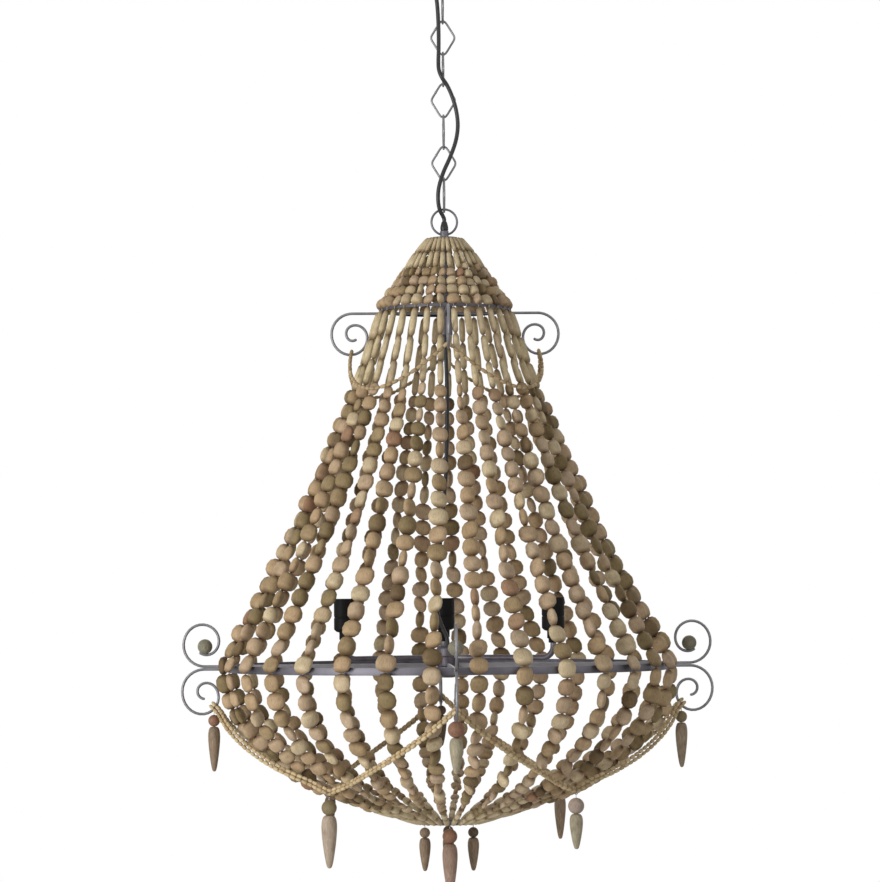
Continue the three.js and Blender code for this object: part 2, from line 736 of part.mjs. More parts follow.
// The lower swags hang in two parallel strings from the sinking scrolls' inner side. The drops pull them
// towards a V, and beside the scrolls they lie on the strands.
function sinkingScrollAt(quarter) {
  const steps = (sinkingScrollShares.length - 1) * hangDivisions;
  return scrollPoints(
    lowerScrollReach,
    sinkingScrollZ,
    lowerScrollRadius,
    sinkingScrollShares,
    -1,
    steps,
  )[Math.round(quarter * hangDivisions)];
}
const sinkingCentre = new THREE.Vector3(lowerScrollReach, 0, sinkingScrollZ);
const hangAt = sinkingScrollAt(hangQuarterShare);
const stringRest = (rodRadius + 2 * clearance + stringRadius) * Math.SQRT2;
const [outerRest, innerRest] = [-hangSpreadShare, hangSpreadShare].map((spread) => {
  const rod = sinkingScrollAt(hangQuarterShare + spread);
  return sinkingCentre.clone().sub(rod).setLength(stringRest).add(rod);
});
function freeSwagPoint(rest, share) {
  const straight = 1 - Math.abs(2 * share - 1);
  const hanging = 4 * share * (1 - share);
  const point = new THREE.Vector3().lerpVectors(polar(rest.x, 0, 0), polar(rest.x, quarterTurn, 0), share);
  point.z = rest.z - lowerSwagSag * (lowerSwagPull * straight + (1 - lowerSwagPull) * hanging);
  return point;
}
function lowerSwagPoint(rest, share) {
  const point = freeSwagPoint(rest, share);
  const inner = freeSwagPoint(innerRest, share);
  const push = Math.max(bowlEdgeReach(inner.z) - Math.hypot(inner.x, inner.y), 0);
  return point.add(new THREE.Vector3(point.x, point.y, 0).setLength(push));
}
[['outer', outerRest], ['inner', innerRest]].forEach(([name, rest]) => {
  place(`lower_swag_string_${name}`, swagLoop(lowerSwagSteps, (share) => (
    lowerSwagPoint(rest, share)
  )), paleWood);
});

// Drops: a wire neck, a round bead and a carved drop below it, hung from its top
const carvedShares = [[0.35, 0], [0.8, 0.05], [1, 0.22], [0.9, 0.45], [0.6, 0.8], [0.2, 1]];
function drop({ length, radius, bead }) {
  const beadZ = -dropNeckLength - bead;
  const carvedZ = beadZ - bead - dropNeckRadius;
  const beadArc = [0.25, 0.5, 0.75].map((share) => {
    const angle = share * Math.PI;
    return [bead * Math.sin(angle), beadZ + bead * Math.cos(angle)];
  });
  return turned([
    [0, 0],
    [dropNeckRadius, 0],
    [dropNeckRadius, beadZ + bead],
    ...beadArc,
    [dropNeckRadius, beadZ - bead],
    ...carvedShares.map(([out, down]) => [radius * out, carvedZ - length * down]),
    [0, carvedZ - length],
  ], dropSides);
}
const [beforeHang, afterHang] = [-hangSpreadShare, hangSpreadShare].map((spread) => (
  sinkingScrollAt(hangQuarterShare + spread)
));
const hangSlope = Math.abs((afterHang.z - beforeHang.z) / (afterHang.x - beforeHang.x));
const dropRest = (rodRadius + clearance) * Math.hypot(1, hangSlope) + dropNeckRadius * hangSlope;
const [long, slim, stout, short] = [longDrop, slimDrop, stoutDrop, shortDrop].map(drop);
const scrollDrops = [slim, short, slim, stout];
const swagDrops = [slim, short, long, stout];
const bottomDrops = [short, short, short, long];
const swagLow = lowerSwagPoint(outerRest, 1 / 2);
const swagLowReach = Math.hypot(swagLow.x, swagLow.y);
const swagLowZ = swagLow.z - stringRadius - clearance;
const bottomDropReach = bottomRingRadius - bottomRingThickness / 2;
for (let n = 0; n < 4; n += 1) {
  const turn = n * quarterTurn;
  const scrollDrop = place(`scroll_drop_${n + 1}`, scrollDrops[n], dropWood);
  scrollDrop.position.copy(polar(hangAt.x, turn, hangAt.z - dropRest));
  const swagDrop = place(`swag_drop_${n + 1}`, swagDrops[n], dropWood);
  swagDrop.position.copy(polar(swagLowReach, turn + quarterTurn / 2, swagLowZ));
  const bottomDrop = place(`bottom_drop_${n + 1}`, bottomDrops[n], dropWood);
  bottomDrop.position.copy(polar(bottomDropReach, turn, bottomRingZ - bottomRingHeight / 2 - clearance));
}

// Supply cable, beside the chain from the cup's bush to the gland
const supplyStart = cupGland.clone().add(new THREE.Vector3(0, 0, -bushFlangeHeight - bushMouthDrop - clearance));
place('supply_cable', cable([
  supplyStart,
  new THREE.Vector3(-12.4, -11.6, -62),
  new THREE.Vector3(-9, -11, -80),
  new THREE.Vector3(-6.8, -10, -100),
  new THREE.Vector3(-5.8, -10, -125),
  new THREE.Vector3(-5.8, -10.5, -150),
  new THREE.Vector3(-6.4, -11, -168),
  new THREE.Vector3(-5.8, -13.6, -180),
  new THREE.Vector3(-2.2, -15.4, -190),
  new THREE.Vector3(4.6, -13, -200),
  new THREE.Vector3(11, -11.5, -214),
  new THREE.Vector3(16.5, -10, -233),
  new THREE.Vector3(18.4, -9.5, -253),
  new THREE.Vector3(15.5, -9.5, -273),
  new THREE.Vector3(8, -9.5, -294),
  new THREE.Vector3(-1, -9.5, -314),
  new THREE.Vector3(-7, -9, -334),
  new THREE.Vector3(-8, -7.8, -350),
  new THREE.Vector3(-6, -4.6, -362),
  new THREE.Vector3(-2.6, -1.8, -368.5),
  new THREE.Vector3(-0.3, -0.2, -373.3),
  new THREE.Vector3(0, 0, glandTopZ + clearance),
], supplyCableSteps), black);

// Lower cable, from the upper hub to the lamp hub, swaying to one side: share of the way down, and reach
const lampCableSways = [
  [0.02, 0], [0.2, 2], [0.42, 0], [0.52, -3], [0.6, -6.3], [0.66, -8.2],
  [0.72, -10.5], [0.785, -13], [0.85, -14.5], [0.905, -12], [0.945, -6], [0.97, -1.5], [0.99, 0],
];
const lampCableTopZ = upperHubBottomZ - clearance;
const lampCableBottomZ = lampHubTopZ + clearance;
place('lamp_cable', cable([
  new THREE.Vector3(0, 0, lampCableTopZ),
  ...lampCableSways.map(([down, sway]) => (
    new THREE.Vector3(sway, 0, lampCableTopZ + (lampCableBottomZ - lampCableTopZ) * down)
  )),
  new THREE.Vector3(0, 0, lampCableBottomZ),
], lampCableSteps), black);

export default chandelier;
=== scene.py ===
"""Dresses the beaded chandelier: wooden bead strands over zinc rings, with swags, drops, lamps and chain."""

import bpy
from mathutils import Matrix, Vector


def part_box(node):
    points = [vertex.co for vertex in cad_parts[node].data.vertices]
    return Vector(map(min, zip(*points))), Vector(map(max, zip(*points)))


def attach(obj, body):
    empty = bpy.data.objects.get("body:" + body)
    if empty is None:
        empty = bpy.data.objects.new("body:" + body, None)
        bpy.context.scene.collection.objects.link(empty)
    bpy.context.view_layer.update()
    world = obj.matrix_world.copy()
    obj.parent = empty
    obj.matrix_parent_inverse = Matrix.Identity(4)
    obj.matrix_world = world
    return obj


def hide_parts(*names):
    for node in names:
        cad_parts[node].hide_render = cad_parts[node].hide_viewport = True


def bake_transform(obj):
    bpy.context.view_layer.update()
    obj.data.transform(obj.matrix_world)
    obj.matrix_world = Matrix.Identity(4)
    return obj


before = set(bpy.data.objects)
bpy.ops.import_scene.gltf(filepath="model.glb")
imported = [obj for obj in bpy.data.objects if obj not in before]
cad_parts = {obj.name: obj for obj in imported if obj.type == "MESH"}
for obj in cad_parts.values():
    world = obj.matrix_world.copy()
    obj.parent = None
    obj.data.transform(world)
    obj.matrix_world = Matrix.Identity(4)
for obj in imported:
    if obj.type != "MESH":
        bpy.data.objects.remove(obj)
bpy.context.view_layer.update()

import math
import random

import bmesh
import bpy
from bpy.props import FloatProperty, FloatVectorProperty, IntProperty, PointerProperty
from mathutils import Matrix, Vector

bl_info = {
    "name": "Beaded chandelier",
    "version": (1, 0, 0),
    "blender": (4, 5, 0),
    "location": "3D View > Sidebar > Chandelier",
    "description": "Builds the visible pieces of a chain-hung beaded chandelier round its frame",
    "category": "Object",
}

MM = 0.001
TURN = 2 * math.pi
QUARTER = math.pi / 2
SIDEWAYS, DEEP, UP = Vector((1, 0, 0)), Vector((0, 1, 0)), Vector((0, 0, 1))
BODY = "chandelier"
FITTING = "ceiling_fitting"

# Counts that the frame fixes
STRANDS = 32
STRANDS_PER_GROUP = 8
STRAND_ANGLE = TURN / STRANDS
SIDES = 4
LINKS = 7
LAMPS = 3


def spin_of(node):
    """Outer radius of a CAD node turned about the vertical axis, with its lowest and highest z."""
    low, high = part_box(node)
    return high[0], low[2], high[2]


def middle_of(node):
    """The middle of a CAD node's box."""
    low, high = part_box(node)
    return Vector([(a + b) / 2 for a, b in zip(low, high)])


RING_RADIUS, RING_LOW, RING_HIGH = spin_of("big_ring")
UPPER_RADIUS, UPPER_LOW, UPPER_HIGH = spin_of("upper_ring")
BOTTOM_RADIUS, BOTTOM_LOW, BOTTOM_HIGH = spin_of("bottom_ring")
CROWN_RADIUS, CROWN_LOW, CROWN_HIGH = spin_of("crown_ring")


def polar(radius, angle, z=0.0):
    return Vector((radius * math.cos(angle), radius * math.sin(angle), z))


def smooth_run(points, steps):
    """A curve through points, tuples of any length, with steps points to each stretch."""
    ends = [points[0], *points, points[-1]]
    run = []
    for stretch in zip(ends, ends[1:], ends[2:], ends[3:]):
        for t in (i / steps for i in range(steps)):
            run.append(tuple(
                b + ((c - a) * t + (2 * a - 5 * b + 4 * c - d) * t ** 2 + (3 * b - a - 3 * c + d) * t ** 3) / 2
                for a, b, c, d in zip(*stretch)
            ))
    return run + [tuple(points[-1])]


# Points of a mesh closer than this are one, and a rounded corner takes at most this share of a side
WELD_DISTANCE = 0.02 * MM
LONGEST_CUT = 0.45


def at_length(run, distance):
    """The point and direction at a distance along a run of vectors."""
    for a, b in zip(run, run[1:]):
        step = (b - a).length
        if distance <= step:
            return a.lerp(b, distance / step), (b - a).normalized()
        distance -= step
    return run[-1].copy(), (run[-1] - run[-2]).normalized()


def run_length(run):
    return sum((b - a).length for a, b in zip(run, run[1:]))


def circle_path(centre, radius, across=SIDEWAYS, steps=48):
    """An upright circle in the plane of Z and a direction across."""
    angles = [TURN * i / steps for i in range(steps)]
    return [centre + (across * math.cos(angle) + UP * math.sin(angle)) * radius for angle in angles]


def frame_at(point, along, across):
    """A matrix that puts a section's X across the run and its Z along it."""
    x = (across - along * across.dot(along)).normalized()
    y = along.cross(x)
    return Matrix.Translation(point) @ Matrix((x, y, along)).transposed().to_4x4()


def section_frames(path, closed=False, side=None):
    """One frame for each point of a path, turned as little as possible from one to the next."""
    frames = []
    across = side or min((SIDEWAYS, DEEP, UP), key=lambda v: abs(v.dot(path[1] - path[0])))
    count = len(path)
    for i, point in enumerate(path):
        before = path[i - 1] if closed or i else point
        after = path[(i + 1) % count] if closed or i < count - 1 else point
        along = ((point - before).normalized() + (after - point).normalized()).normalized()
        placed = frame_at(point, along, side or across)
        across = placed.to_3x3().col[0]
        frames.append(placed)
    return frames


def wire(bm, path, radius, sides=12, closed=False, side=None):
    """A round wire through a path: one disc, extruded from point to point. radius is one or one a point."""
    frames = section_frames(path, closed, side)
    radii = radius if isinstance(radius, list) else [radius] * len(path)
    made = bmesh.ops.create_circle(bm, cap_ends=not closed, segments=sides, radius=radii[0], matrix=frames[0])
    first = list(made["verts"])
    if closed:
        loops = list({e for v in first for e in v.link_edges})
    cap = None if closed else first[0].link_faces[0]
    for i in range(1, len(path)):
        change = frames[i] @ Matrix.Scale(radii[i] / radii[i - 1], 4) @ frames[i - 1].inverted()
        if closed:
            grown = bmesh.ops.extrude_edge_only(bm, edges=loops)["geom"]
            loops = [g for g in grown if isinstance(g, bmesh.types.BMEdge)
                     and all(v in grown for v in g.verts)]
        else:
            grown = bmesh.ops.extrude_face_region(bm, geom=[cap])["geom"]
            cap = next(g for g in grown if isinstance(g, bmesh.types.BMFace))
        ring = [g for g in grown if isinstance(g, bmesh.types.BMVert)]
        bmesh.ops.transform(bm, matrix=change, verts=ring)
    if closed:
        start = [e for v in first for e in v.link_edges if all(w in first for w in e.verts)]
        bmesh.ops.bridge_loops(bm, edges=list(set(start)) + loops)


def turned(bm, profile, place=Matrix(), segments=32):
    """A closed outline of (radius, height) spun about the vertical axis."""
    verts = [bm.verts.new(place @ Vector((r, 0, z))) for r, z in profile]
    edges = [bm.edges.new(pair) for pair in zip(verts, verts[1:])]
    bmesh.ops.spin(
        bm, geom=verts + edges, cent=place.translation, axis=place.to_3x3() @ UP,
        dvec=(0, 0, 0), angle=TURN, steps=segments, use_merge=True, use_duplicate=False,
    )


def lathe_outline(points, radius, foot):
    """An outline from (share of the radius, millimetres above the foot) pairs."""
    return [(radius * share, foot + height * MM) for share, height in points]


def tube_outline(inner, outer, low, high):
    return [(inner, low), (outer, low), (outer, high), (inner, high), (inner, low)]


def rounded(corners, radius, steps=3):
    """The outline with each inner corner replaced by a small arc."""
    out = [corners[0]]
    for a, b, c in zip(corners, corners[1:], corners[2:]):
        a, b, c = Vector(a), Vector(b), Vector(c)
        cut = min(radius, (a - b).length * LONGEST_CUT, (c - b).length * LONGEST_CUT)
        start, end = b + (a - b).normalized() * cut, b + (c - b).normalized() * cut
        for i in range(steps + 1):
            t = i / steps
            out.append(tuple(start.lerp(b, t).lerp(b.lerp(end, t), t)))
    return out + [corners[-1]]


def ball(bm, centre, radius, around, down):
    bmesh.ops.create_uvsphere(bm, u_segments=around, v_segments=down, radius=radius,
                              matrix=Matrix.Translation(centre))


def mesh_of(bm, name):
    mesh = bpy.data.meshes.new(name)
    bm.to_mesh(mesh)
    bm.free()
    return mesh


def finish_piece(bm, name, material, slot, body=BODY, node=None, smooth_angle=40):
    """Turns a bmesh into a named piece that rides on its body and stands for its CAD node."""
    bmesh.ops.remove_doubles(bm, verts=bm.verts, dist=WELD_DISTANCE)
    bmesh.ops.recalc_face_normals(bm, faces=bm.faces)
    limit = math.radians(smooth_angle)
    for face in bm.faces:
        face.smooth = True
    for edge in bm.edges:
        edge.smooth = len(edge.link_faces) == 2 and edge.calc_face_angle(0) < limit
    mesh = mesh_of(bm, name)
    mesh.materials.append(material)
    piece = bpy.data.objects.new(name, mesh)
    bpy.context.scene.collection.objects.link(piece)
    if body:
        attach(piece, body)
    if node:
        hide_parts(node)
    return piece


def turned_piece(name, outline, material, slot, place=Matrix(), segments=32, **rest):
    """A piece turned on the lathe from one closed outline."""
    bm = bmesh.new()
    turned(bm, outline, place, segments)
    return finish_piece(bm, name, material, slot, **rest)


def wire_piece(name, path, radius, material, slot, sides=8, closed=False, side=None, place=Matrix(), **rest):
    """A piece bent from one round wire or tube, and then put in its place."""
    bm = bmesh.new()
    wire(bm, path, radius, sides, closed, side)
    bmesh.ops.transform(bm, matrix=place, verts=bm.verts)
    return finish_piece(bm, name, material, slot, **rest)


def ball_piece(name, centre, radius, material, slot, around, down, **rest):
    bm = bmesh.new()
    ball(bm, centre, radius, around, down)
    return finish_piece(bm, name, material, slot, **rest)


# Sockets of a Mix node that mixes colours, and the settings of one that multiplies them
MIX_FIRST, MIX_SECOND, MIX_RESULT = 6, 7, 2
MULTIPLY = {"data_type": "RGBA", "blend_type": "MULTIPLY", "Factor": 1.0}
# How fibres and blotches shade a bead's wood and a carved piece's, as factors along their patterns
BEAD_FIBRES = [(0.3, (0.66, 0.61, 0.55, 1)), (0.5, (0.95, 0.94, 0.93, 1)), (0.75, (1.06, 1.05, 1.03, 1))]
BEAD_BLOTCHES = [(0.3, (0.8, 0.78, 0.74, 1)), (0.65, (1.04, 1.03, 1.02, 1))]
CARVED_BLOTCHES = [(0.3, (0.78, 0.76, 0.72, 1)), (0.65, (1.05, 1.04, 1.02, 1))]
# The shares of a bead's half length between which its end darkens: painted shade where one bead meets the next
END_FROM, END_TO = 0.55, 0.95


def linear(code, alpha=1.0):
    """An sRGB hex colour as linear values."""
    parts = [int(code[i:i + 2], 16) / 255 for i in (1, 3, 5)]
    return (*(c / 12.92 if c <= 0.04045 else ((c + 0.055) / 1.055) ** 2.4 for c in parts), alpha)


def add(tree, kind, settings=None, links=None):
    """Adds a shader node, sets its properties, sockets and colour stops, and links outputs to its inputs."""
    made = tree.nodes.new("ShaderNode" + kind)
    for key, value in (settings or {}).items():
        if key == "stops":
            elements = made.color_ramp.elements
            elements.remove(elements[-1])
            elements[0].position, elements[0].color = value[0]
            for position, colour in value[1:]:
                elements.new(position).color = colour
        elif isinstance(key, str) and hasattr(made, key):
            setattr(made, key, value)
        else:
            made.inputs[key].default_value = value
    for key, output in (links or {}).items():
        tree.links.new(output, made.inputs[key])
    return made


def new_material(name):
    """A node material with its surface shader alone, as (material, tree, shader)."""
    made = bpy.data.materials.new(name)
    made.use_nodes = True
    tree = made.node_tree
    tree.nodes.clear()
    shader = add(tree, "BsdfPrincipled")
    add(tree, "OutputMaterial", links={"Surface": shader.outputs["BSDF"]})
    return made, tree, shader


def surface(tree, shader, colour, pattern, roughness, relief=None, **values):
    """Gives the shader its colour, its roughness from end to end of a pattern, its relief as (pattern,
    strength, depth in millimetres) and its other values."""
    smooth, rough = roughness
    gloss = add(tree, "MapRange", {"To Min": smooth, "To Max": rough}, {"Value": pattern}).outputs["Result"]
    tree.links.new(colour, shader.inputs["Base Color"])
    tree.links.new(gloss, shader.inputs["Roughness"])
    if relief:
        height, strength, depth_mm = relief
        bump = add(tree, "Bump", {"Strength": strength, "Distance": depth_mm * MM}, {"Height": height})
        tree.links.new(bump.outputs["Normal"], shader.inputs["Normal"])
    for key, value in values.items():
        shader.inputs[key.replace("_", " ")].default_value = value


def shaded(tree, colour, shades):
    """The colour multiplied by one ramp after another, each along its own pattern."""
    for pattern, stops in shades:
        shade = add(tree, "ValToRGB", {"stops": stops}, {"Fac": pattern})
        colour = add(tree, "Mix", MULTIPLY, {
            MIX_FIRST: colour, MIX_SECOND: shade.outputs["Color"],
        }).outputs[MIX_RESULT]
    return colour


def aged_zinc(name, dark, light, grain_mm, roughness):
    """Steel plated with zinc and left to age: a cloudy grey with a violet cast, rubbed brighter on edges."""
    made, tree, shader = new_material(name)
    place = {"Vector": add(tree, "TexCoord").outputs["Object"]}
    cloud = add(tree, "TexNoise", {"Scale": 1 / (14 * MM), "Detail": 5.0}, place).outputs["Fac"]
    grit = add(tree, "TexNoise", {"Scale": 1 / (grain_mm * MM), "Detail": 3.0}, place).outputs["Fac"]
    worn = add(tree, "NewGeometry").outputs["Pointiness"]
    edge = add(tree, "MapRange", {"From Min": 0.52, "From Max": 0.62}, {"Value": worn})
    base = add(tree, "ValToRGB", {"stops": [(0.3, linear(dark)), (0.7, linear(light))]}, {"Fac": cloud})
    rubbed = add(tree, "Mix", {"data_type": "RGBA", MIX_SECOND: linear("#9a989a")}, {
        "Factor": edge.outputs["Result"], MIX_FIRST: base.outputs["Color"],
    })
    surface(tree, shader, rubbed.outputs[MIX_RESULT], cloud, (roughness - 0.1, roughness + 0.12),
            (grit, 0.25, 0.15), Metallic=0.75)
    return made


def zinc_steel(name):
    """Bright zinc-plated steel of hardware: pale grey with faint turning marks."""
    made, tree, shader = new_material(name)
    place = {"Vector": add(tree, "TexCoord").outputs["Object"]}
    marks = add(tree, "TexWave", {
        "bands_direction": "Z", "Scale": 1 / (3 * MM), "Distortion": 2.0, "Detail": 2.0,
    }, place).outputs["Fac"]
    base = add(tree, "ValToRGB", {"stops": [(0.0, linear("#9c9c9b")), (1.0, linear("#b4b4b2"))]},
               {"Fac": marks})
    surface(tree, shader, base.outputs["Color"], marks, (0.3, 0.42), Metallic=0.9)
    return made


def black_plastic(name, colour, roughness, grain_mm, depth_mm, sheen=0.5):
    """Moulded black plastic, satin, with a fine spark-eroded grain. Less sheen leaves it deeper black."""
    made, tree, shader = new_material(name)
    place = {"Vector": add(tree, "TexCoord").outputs["Object"]}
    grain = add(tree, "TexNoise", {"Scale": 1 / (grain_mm * MM), "Detail": 2.0}, place).outputs["Fac"]
    base = add(tree, "ValToRGB", {"stops": [(0.2, linear(colour)), (0.8, linear("#141313"))]},
               {"Fac": grain})
    surface(tree, shader, base.outputs["Color"], grain, (roughness - 0.05, roughness + 0.05),
            (grain, 0.3, depth_mm), IOR=1.46, Specular_IOR_Level=sheen)
    return made


def bead_wood(name, stops, grain_mm, end_shade):
    """Turned whitewood, stained bead by bead and left matt. The tone attribute gives each bead its stain, the
    grain attribute its own piece of wood, with the fibres along Z, and the hole attribute its ends, which
    end_shade darkens with painted shade where one bead meets the next."""
    made, tree, shader = new_material(name)
    tone = add(tree, "Attribute", {"attribute_name": "tone"}).outputs["Fac"]
    hole = add(tree, "Attribute", {"attribute_name": "hole"}).outputs["Fac"]
    wood = {"Vector": add(tree, "Attribute", {"attribute_name": "grain"}).outputs["Vector"]}
    stretched = {"Vector": add(tree, "Mapping", {"Scale": (1.0, 1.0, 0.16)}, wood).outputs["Vector"]}
    fibre = add(tree, "TexNoise", {"Scale": 1 / (grain_mm * MM), "Detail": 4.0, "Roughness": 0.65},
                stretched).outputs["Fac"]
    blotch = add(tree, "TexNoise", {"Scale": 1 / (11 * MM), "Detail": 2.0}, wood).outputs["Fac"]
    stain = add(tree, "ValToRGB", {"stops": stops}, {"Fac": tone}).outputs["Color"]
    # The bead ends take end_shade: painted shade where the beads touch, standing in for the shade between them
    ends = [(END_FROM, (1, 1, 1, 1)), (END_TO, end_shade)]
    colour = shaded(tree, stain, [(fibre, BEAD_FIBRES), (blotch, BEAD_BLOTCHES), (hole, ends)])
    surface(tree, shader, colour, fibre, (0.82, 0.62), (fibre, 0.5, 0.25), IOR=1.45)
    return made


def carved_wood(name, dark, light, grain_mm):
    """Whitewood turned or carved to shape, stained and matt, with its fibres running down the piece."""
    made, tree, shader = new_material(name)
    place = {"Vector": add(tree, "TexCoord").outputs["Object"]}
    stretched = {"Vector": add(tree, "Mapping", {"Scale": (1.0, 1.0, 0.12)}, place).outputs["Vector"]}
    fibre = add(tree, "TexNoise", {"Scale": 1 / (grain_mm * MM), "Detail": 4.0, "Roughness": 0.6},
                stretched).outputs["Fac"]
    blotch = add(tree, "TexNoise", {"Scale": 1 / (16 * MM), "Detail": 3.0}, place).outputs["Fac"]
    stain = add(tree, "ValToRGB", {"stops": [(0.3, linear(dark)), (0.7, linear(light))]}, {"Fac": fibre})
    colour = shaded(tree, stain.outputs["Color"], [(blotch, CARVED_BLOTCHES)])
    surface(tree, shader, colour, fibre, (0.78, 0.58), (fibre, 0.45, 0.25), IOR=1.45)
    return made


def cable_sheath(name):
    """Smooth black sheath of a round cable, with the faint ripple that its cores press into it."""
    made, tree, shader = new_material(name)
    place = {"Vector": add(tree, "TexCoord").outputs["Object"]}
    ripple = add(tree, "TexNoise", {"Scale": 1 / (9 * MM), "Detail": 1.0}, place).outputs["Fac"]
    base = add(tree, "ValToRGB", {"stops": [(0.3, linear("#0f0f0f")), (0.7, linear("#1c1b1b"))]},
               {"Fac": ripple})
    surface(tree, shader, base.outputs["Color"], ripple, (0.38, 0.52), (ripple, 0.2, 0.1), IOR=1.5)
    return made


def bead_stains(finishes):
    """The strand beads' stains along the tone, from dark through olive, tan, pink and pale to red-brown."""
    dark, olive, tan, pink, pale, red = (tuple(getattr(finishes, f"{name}_stain")) for name in
                                         ("dark", "olive", "tan", "pink", "pale", "red"))
    between = [(a + b) / 2 for a, b in zip(dark, olive)]
    stops = ((0.0, dark), (0.1, between), (0.22, olive), (0.45, tan), (0.66, pink), (0.82, pale),
             (0.92, pale), (1.0, red))
    return [(at, (*colour, 1)) for at, colour in stops]


# Outlines of the cage between its rings, as shares of the way down and of the way out
DOME_OUTLINE = [(0, 0), (0.1, 0.14), (0.25, 0.3), (0.5, 0.52), (0.75, 0.75), (1, 1)]
SKIRT_OUTLINE = [(0, 0), (0.21, 0.157), (0.43, 0.356), (0.65, 0.578), (0.87, 0.838), (1, 1)]
BOWL_OUTLINE = [(0, 0), (0.09, 0.012), (0.29, 0.067), (0.53, 0.224), (0.74, 0.44), (0.87, 0.677),
                (0.96, 0.9), (1, 1)]

# Bead sizes along each run: share of its length, width and length as shares of the biggest bead
DOME_BEADS = [(0, 0.21, 1.0), (0.3, 0.29, 1.0), (0.33, 0.46, 0.5), (0.55, 0.58, 0.58), (0.75, 0.66, 0.64),
              (1, 0.7, 0.68)]
SKIRT_BEADS = [(0, 0.36, 1.5), (0.165, 0.375, 1.4), (0.18, 0.64, 0.72), (0.25, 0.76, 0.82), (0.36, 0.88, 0.9),
               (0.48, 0.98, 0.97), (1, 1.0, 1.0)]
BOWL_BEADS = [(0, 0.98, 0.97), (0.25, 0.94, 0.93), (0.42, 0.84, 0.86), (0.56, 0.68, 0.76), (0.68, 0.5, 0.7),
              (0.8, 0.41, 0.7), (0.81, 0.34, 1.3), (1, 0.27, 1.4)]

# Below this share of the biggest bead's width a bead is a slim stick, and above it a disc or a ball
STICK_SHARE = 0.4
DISC_CHANCE = 0.72
# How much beads differ: any bead's size, a ball's width, and the dome beads' pace along their table
SIZE_RANGE, BALL_RANGE, PACE_RANGE = (0.92, 1.06), (0.78, 0.95), (0.86, 1.16)
# Discs turn anyhow, but many show their edge, and those on the big ring lie nearly flat against it
EDGE_CHANCE, EDGE_SPREAD, RING_SPREAD = 0.45, 0.45, 0.2

# Tones: a strand's own with the spread and range of its beads, the sticks' the same way, and the chance and
# range of a dark and of a reddish bead
STRAND_TONES, PALER_DOME = (0.4, 0.66), 0.1
TONE_SPREAD, TONE_RANGE = 0.18, (0.2, 0.78)
STICK_TONE, STICK_TONE_SPREAD, STICK_TONE_RANGE = 0.84, 0.06, (0.5, 0.92)
ODD_CHANCE, DARK_TONES, RED_TONES = 0.06, (0.03, 0.18), (0.93, 1.0)

# How the strands lean, as shares of the sway: the drift all one way round and the swing either way, at the
# back and at the front, and how much of it the dome, the skirt and the bowl take
BACK_LEAN, FRONT_LEAN = (0.3, 0.7), (0.15, 0.4)
RUN_LEANS = (0.3, 1.0, 0.8)
HANG_SEED = 302
BIG_RING_SEAT = 6.25 * MM
BEAD_GAP = -0.5 * MM
WIRE_CLEARANCE = 0.3 * MM
WIRE_RADIUS = 0.55 * MM
WIRE_SEAT = 1.2 * MM
BAND_MARGIN = 1.0 * MM
HALF_TURN_STEPS = 6


def clipped(value, limits):
    return min(max(value, limits[0]), limits[1])


def bead_shape(name, around, down, flat=1.0, blunt=1.0):
    """A bead one unit wide and long, threaded along Z. flat thins it along Y, and blunt squares its ends."""
    bm = bmesh.new()
    turn = Matrix.Rotation(QUARTER, 4, "X") if flat < 1 else Matrix()
    bmesh.ops.create_uvsphere(bm, u_segments=around, v_segments=down, radius=0.5, matrix=turn)
    for vert in bm.verts:
        lift = abs(vert.co.z * 2) ** blunt
        vert.co.z = math.copysign(lift / 2, vert.co.z)
    bmesh.ops.scale(bm, vec=(1, flat, 1), verts=bm.verts)
    return mesh_of(bm, name)


def share_of(table, at):
    """Width and length from a bead table at a share of the run."""
    for (a, *low), (b, *high) in zip(table, table[1:]):
        if at <= b:
            t = (at - a) / (b - a)
            return [p + (q - p) * t for p, q in zip(low, high)]
    return list(table[-1][1:])


def bead_layers(bm):
    layers = bm.verts.layers
    return layers.float.new("tone"), layers.float_vector.new("grain"), layers.float.new("hole")


def thread(bm, layers, shape, placed, size, tone, rng):
    """Puts one bead on the string. size is its width, thickness and length."""
    tone_layer, grain_layer, hole_layer = layers
    start = len(bm.verts)
    bm.from_mesh(shape)
    bm.verts.ensure_lookup_table()
    fresh = bm.verts[start:]
    bmesh.ops.scale(bm, vec=size, verts=fresh)
    offset = Vector((rng.random(), rng.random(), rng.random()))
    for vert in fresh:
        vert[tone_layer] = tone
        vert[grain_layer] = vert.co + offset
        # The hole value runs from the bead's middle out to its ends and masks the painted shade where beads
        # touch
        vert[hole_layer] = abs(vert.co.z) * 2 / size[2]
    bmesh.ops.transform(bm, matrix=placed, verts=fresh)


def outline_run(outline, top, end, steps=6):
    """An outline between two (radius, height) points, as smooth (radius, height) pairs."""
    return [
        (top[0] + (end[0] - top[0]) * out, top[1] + (end[1] - top[1]) * down)
        for down, out in smooth_run(outline, steps)
    ]


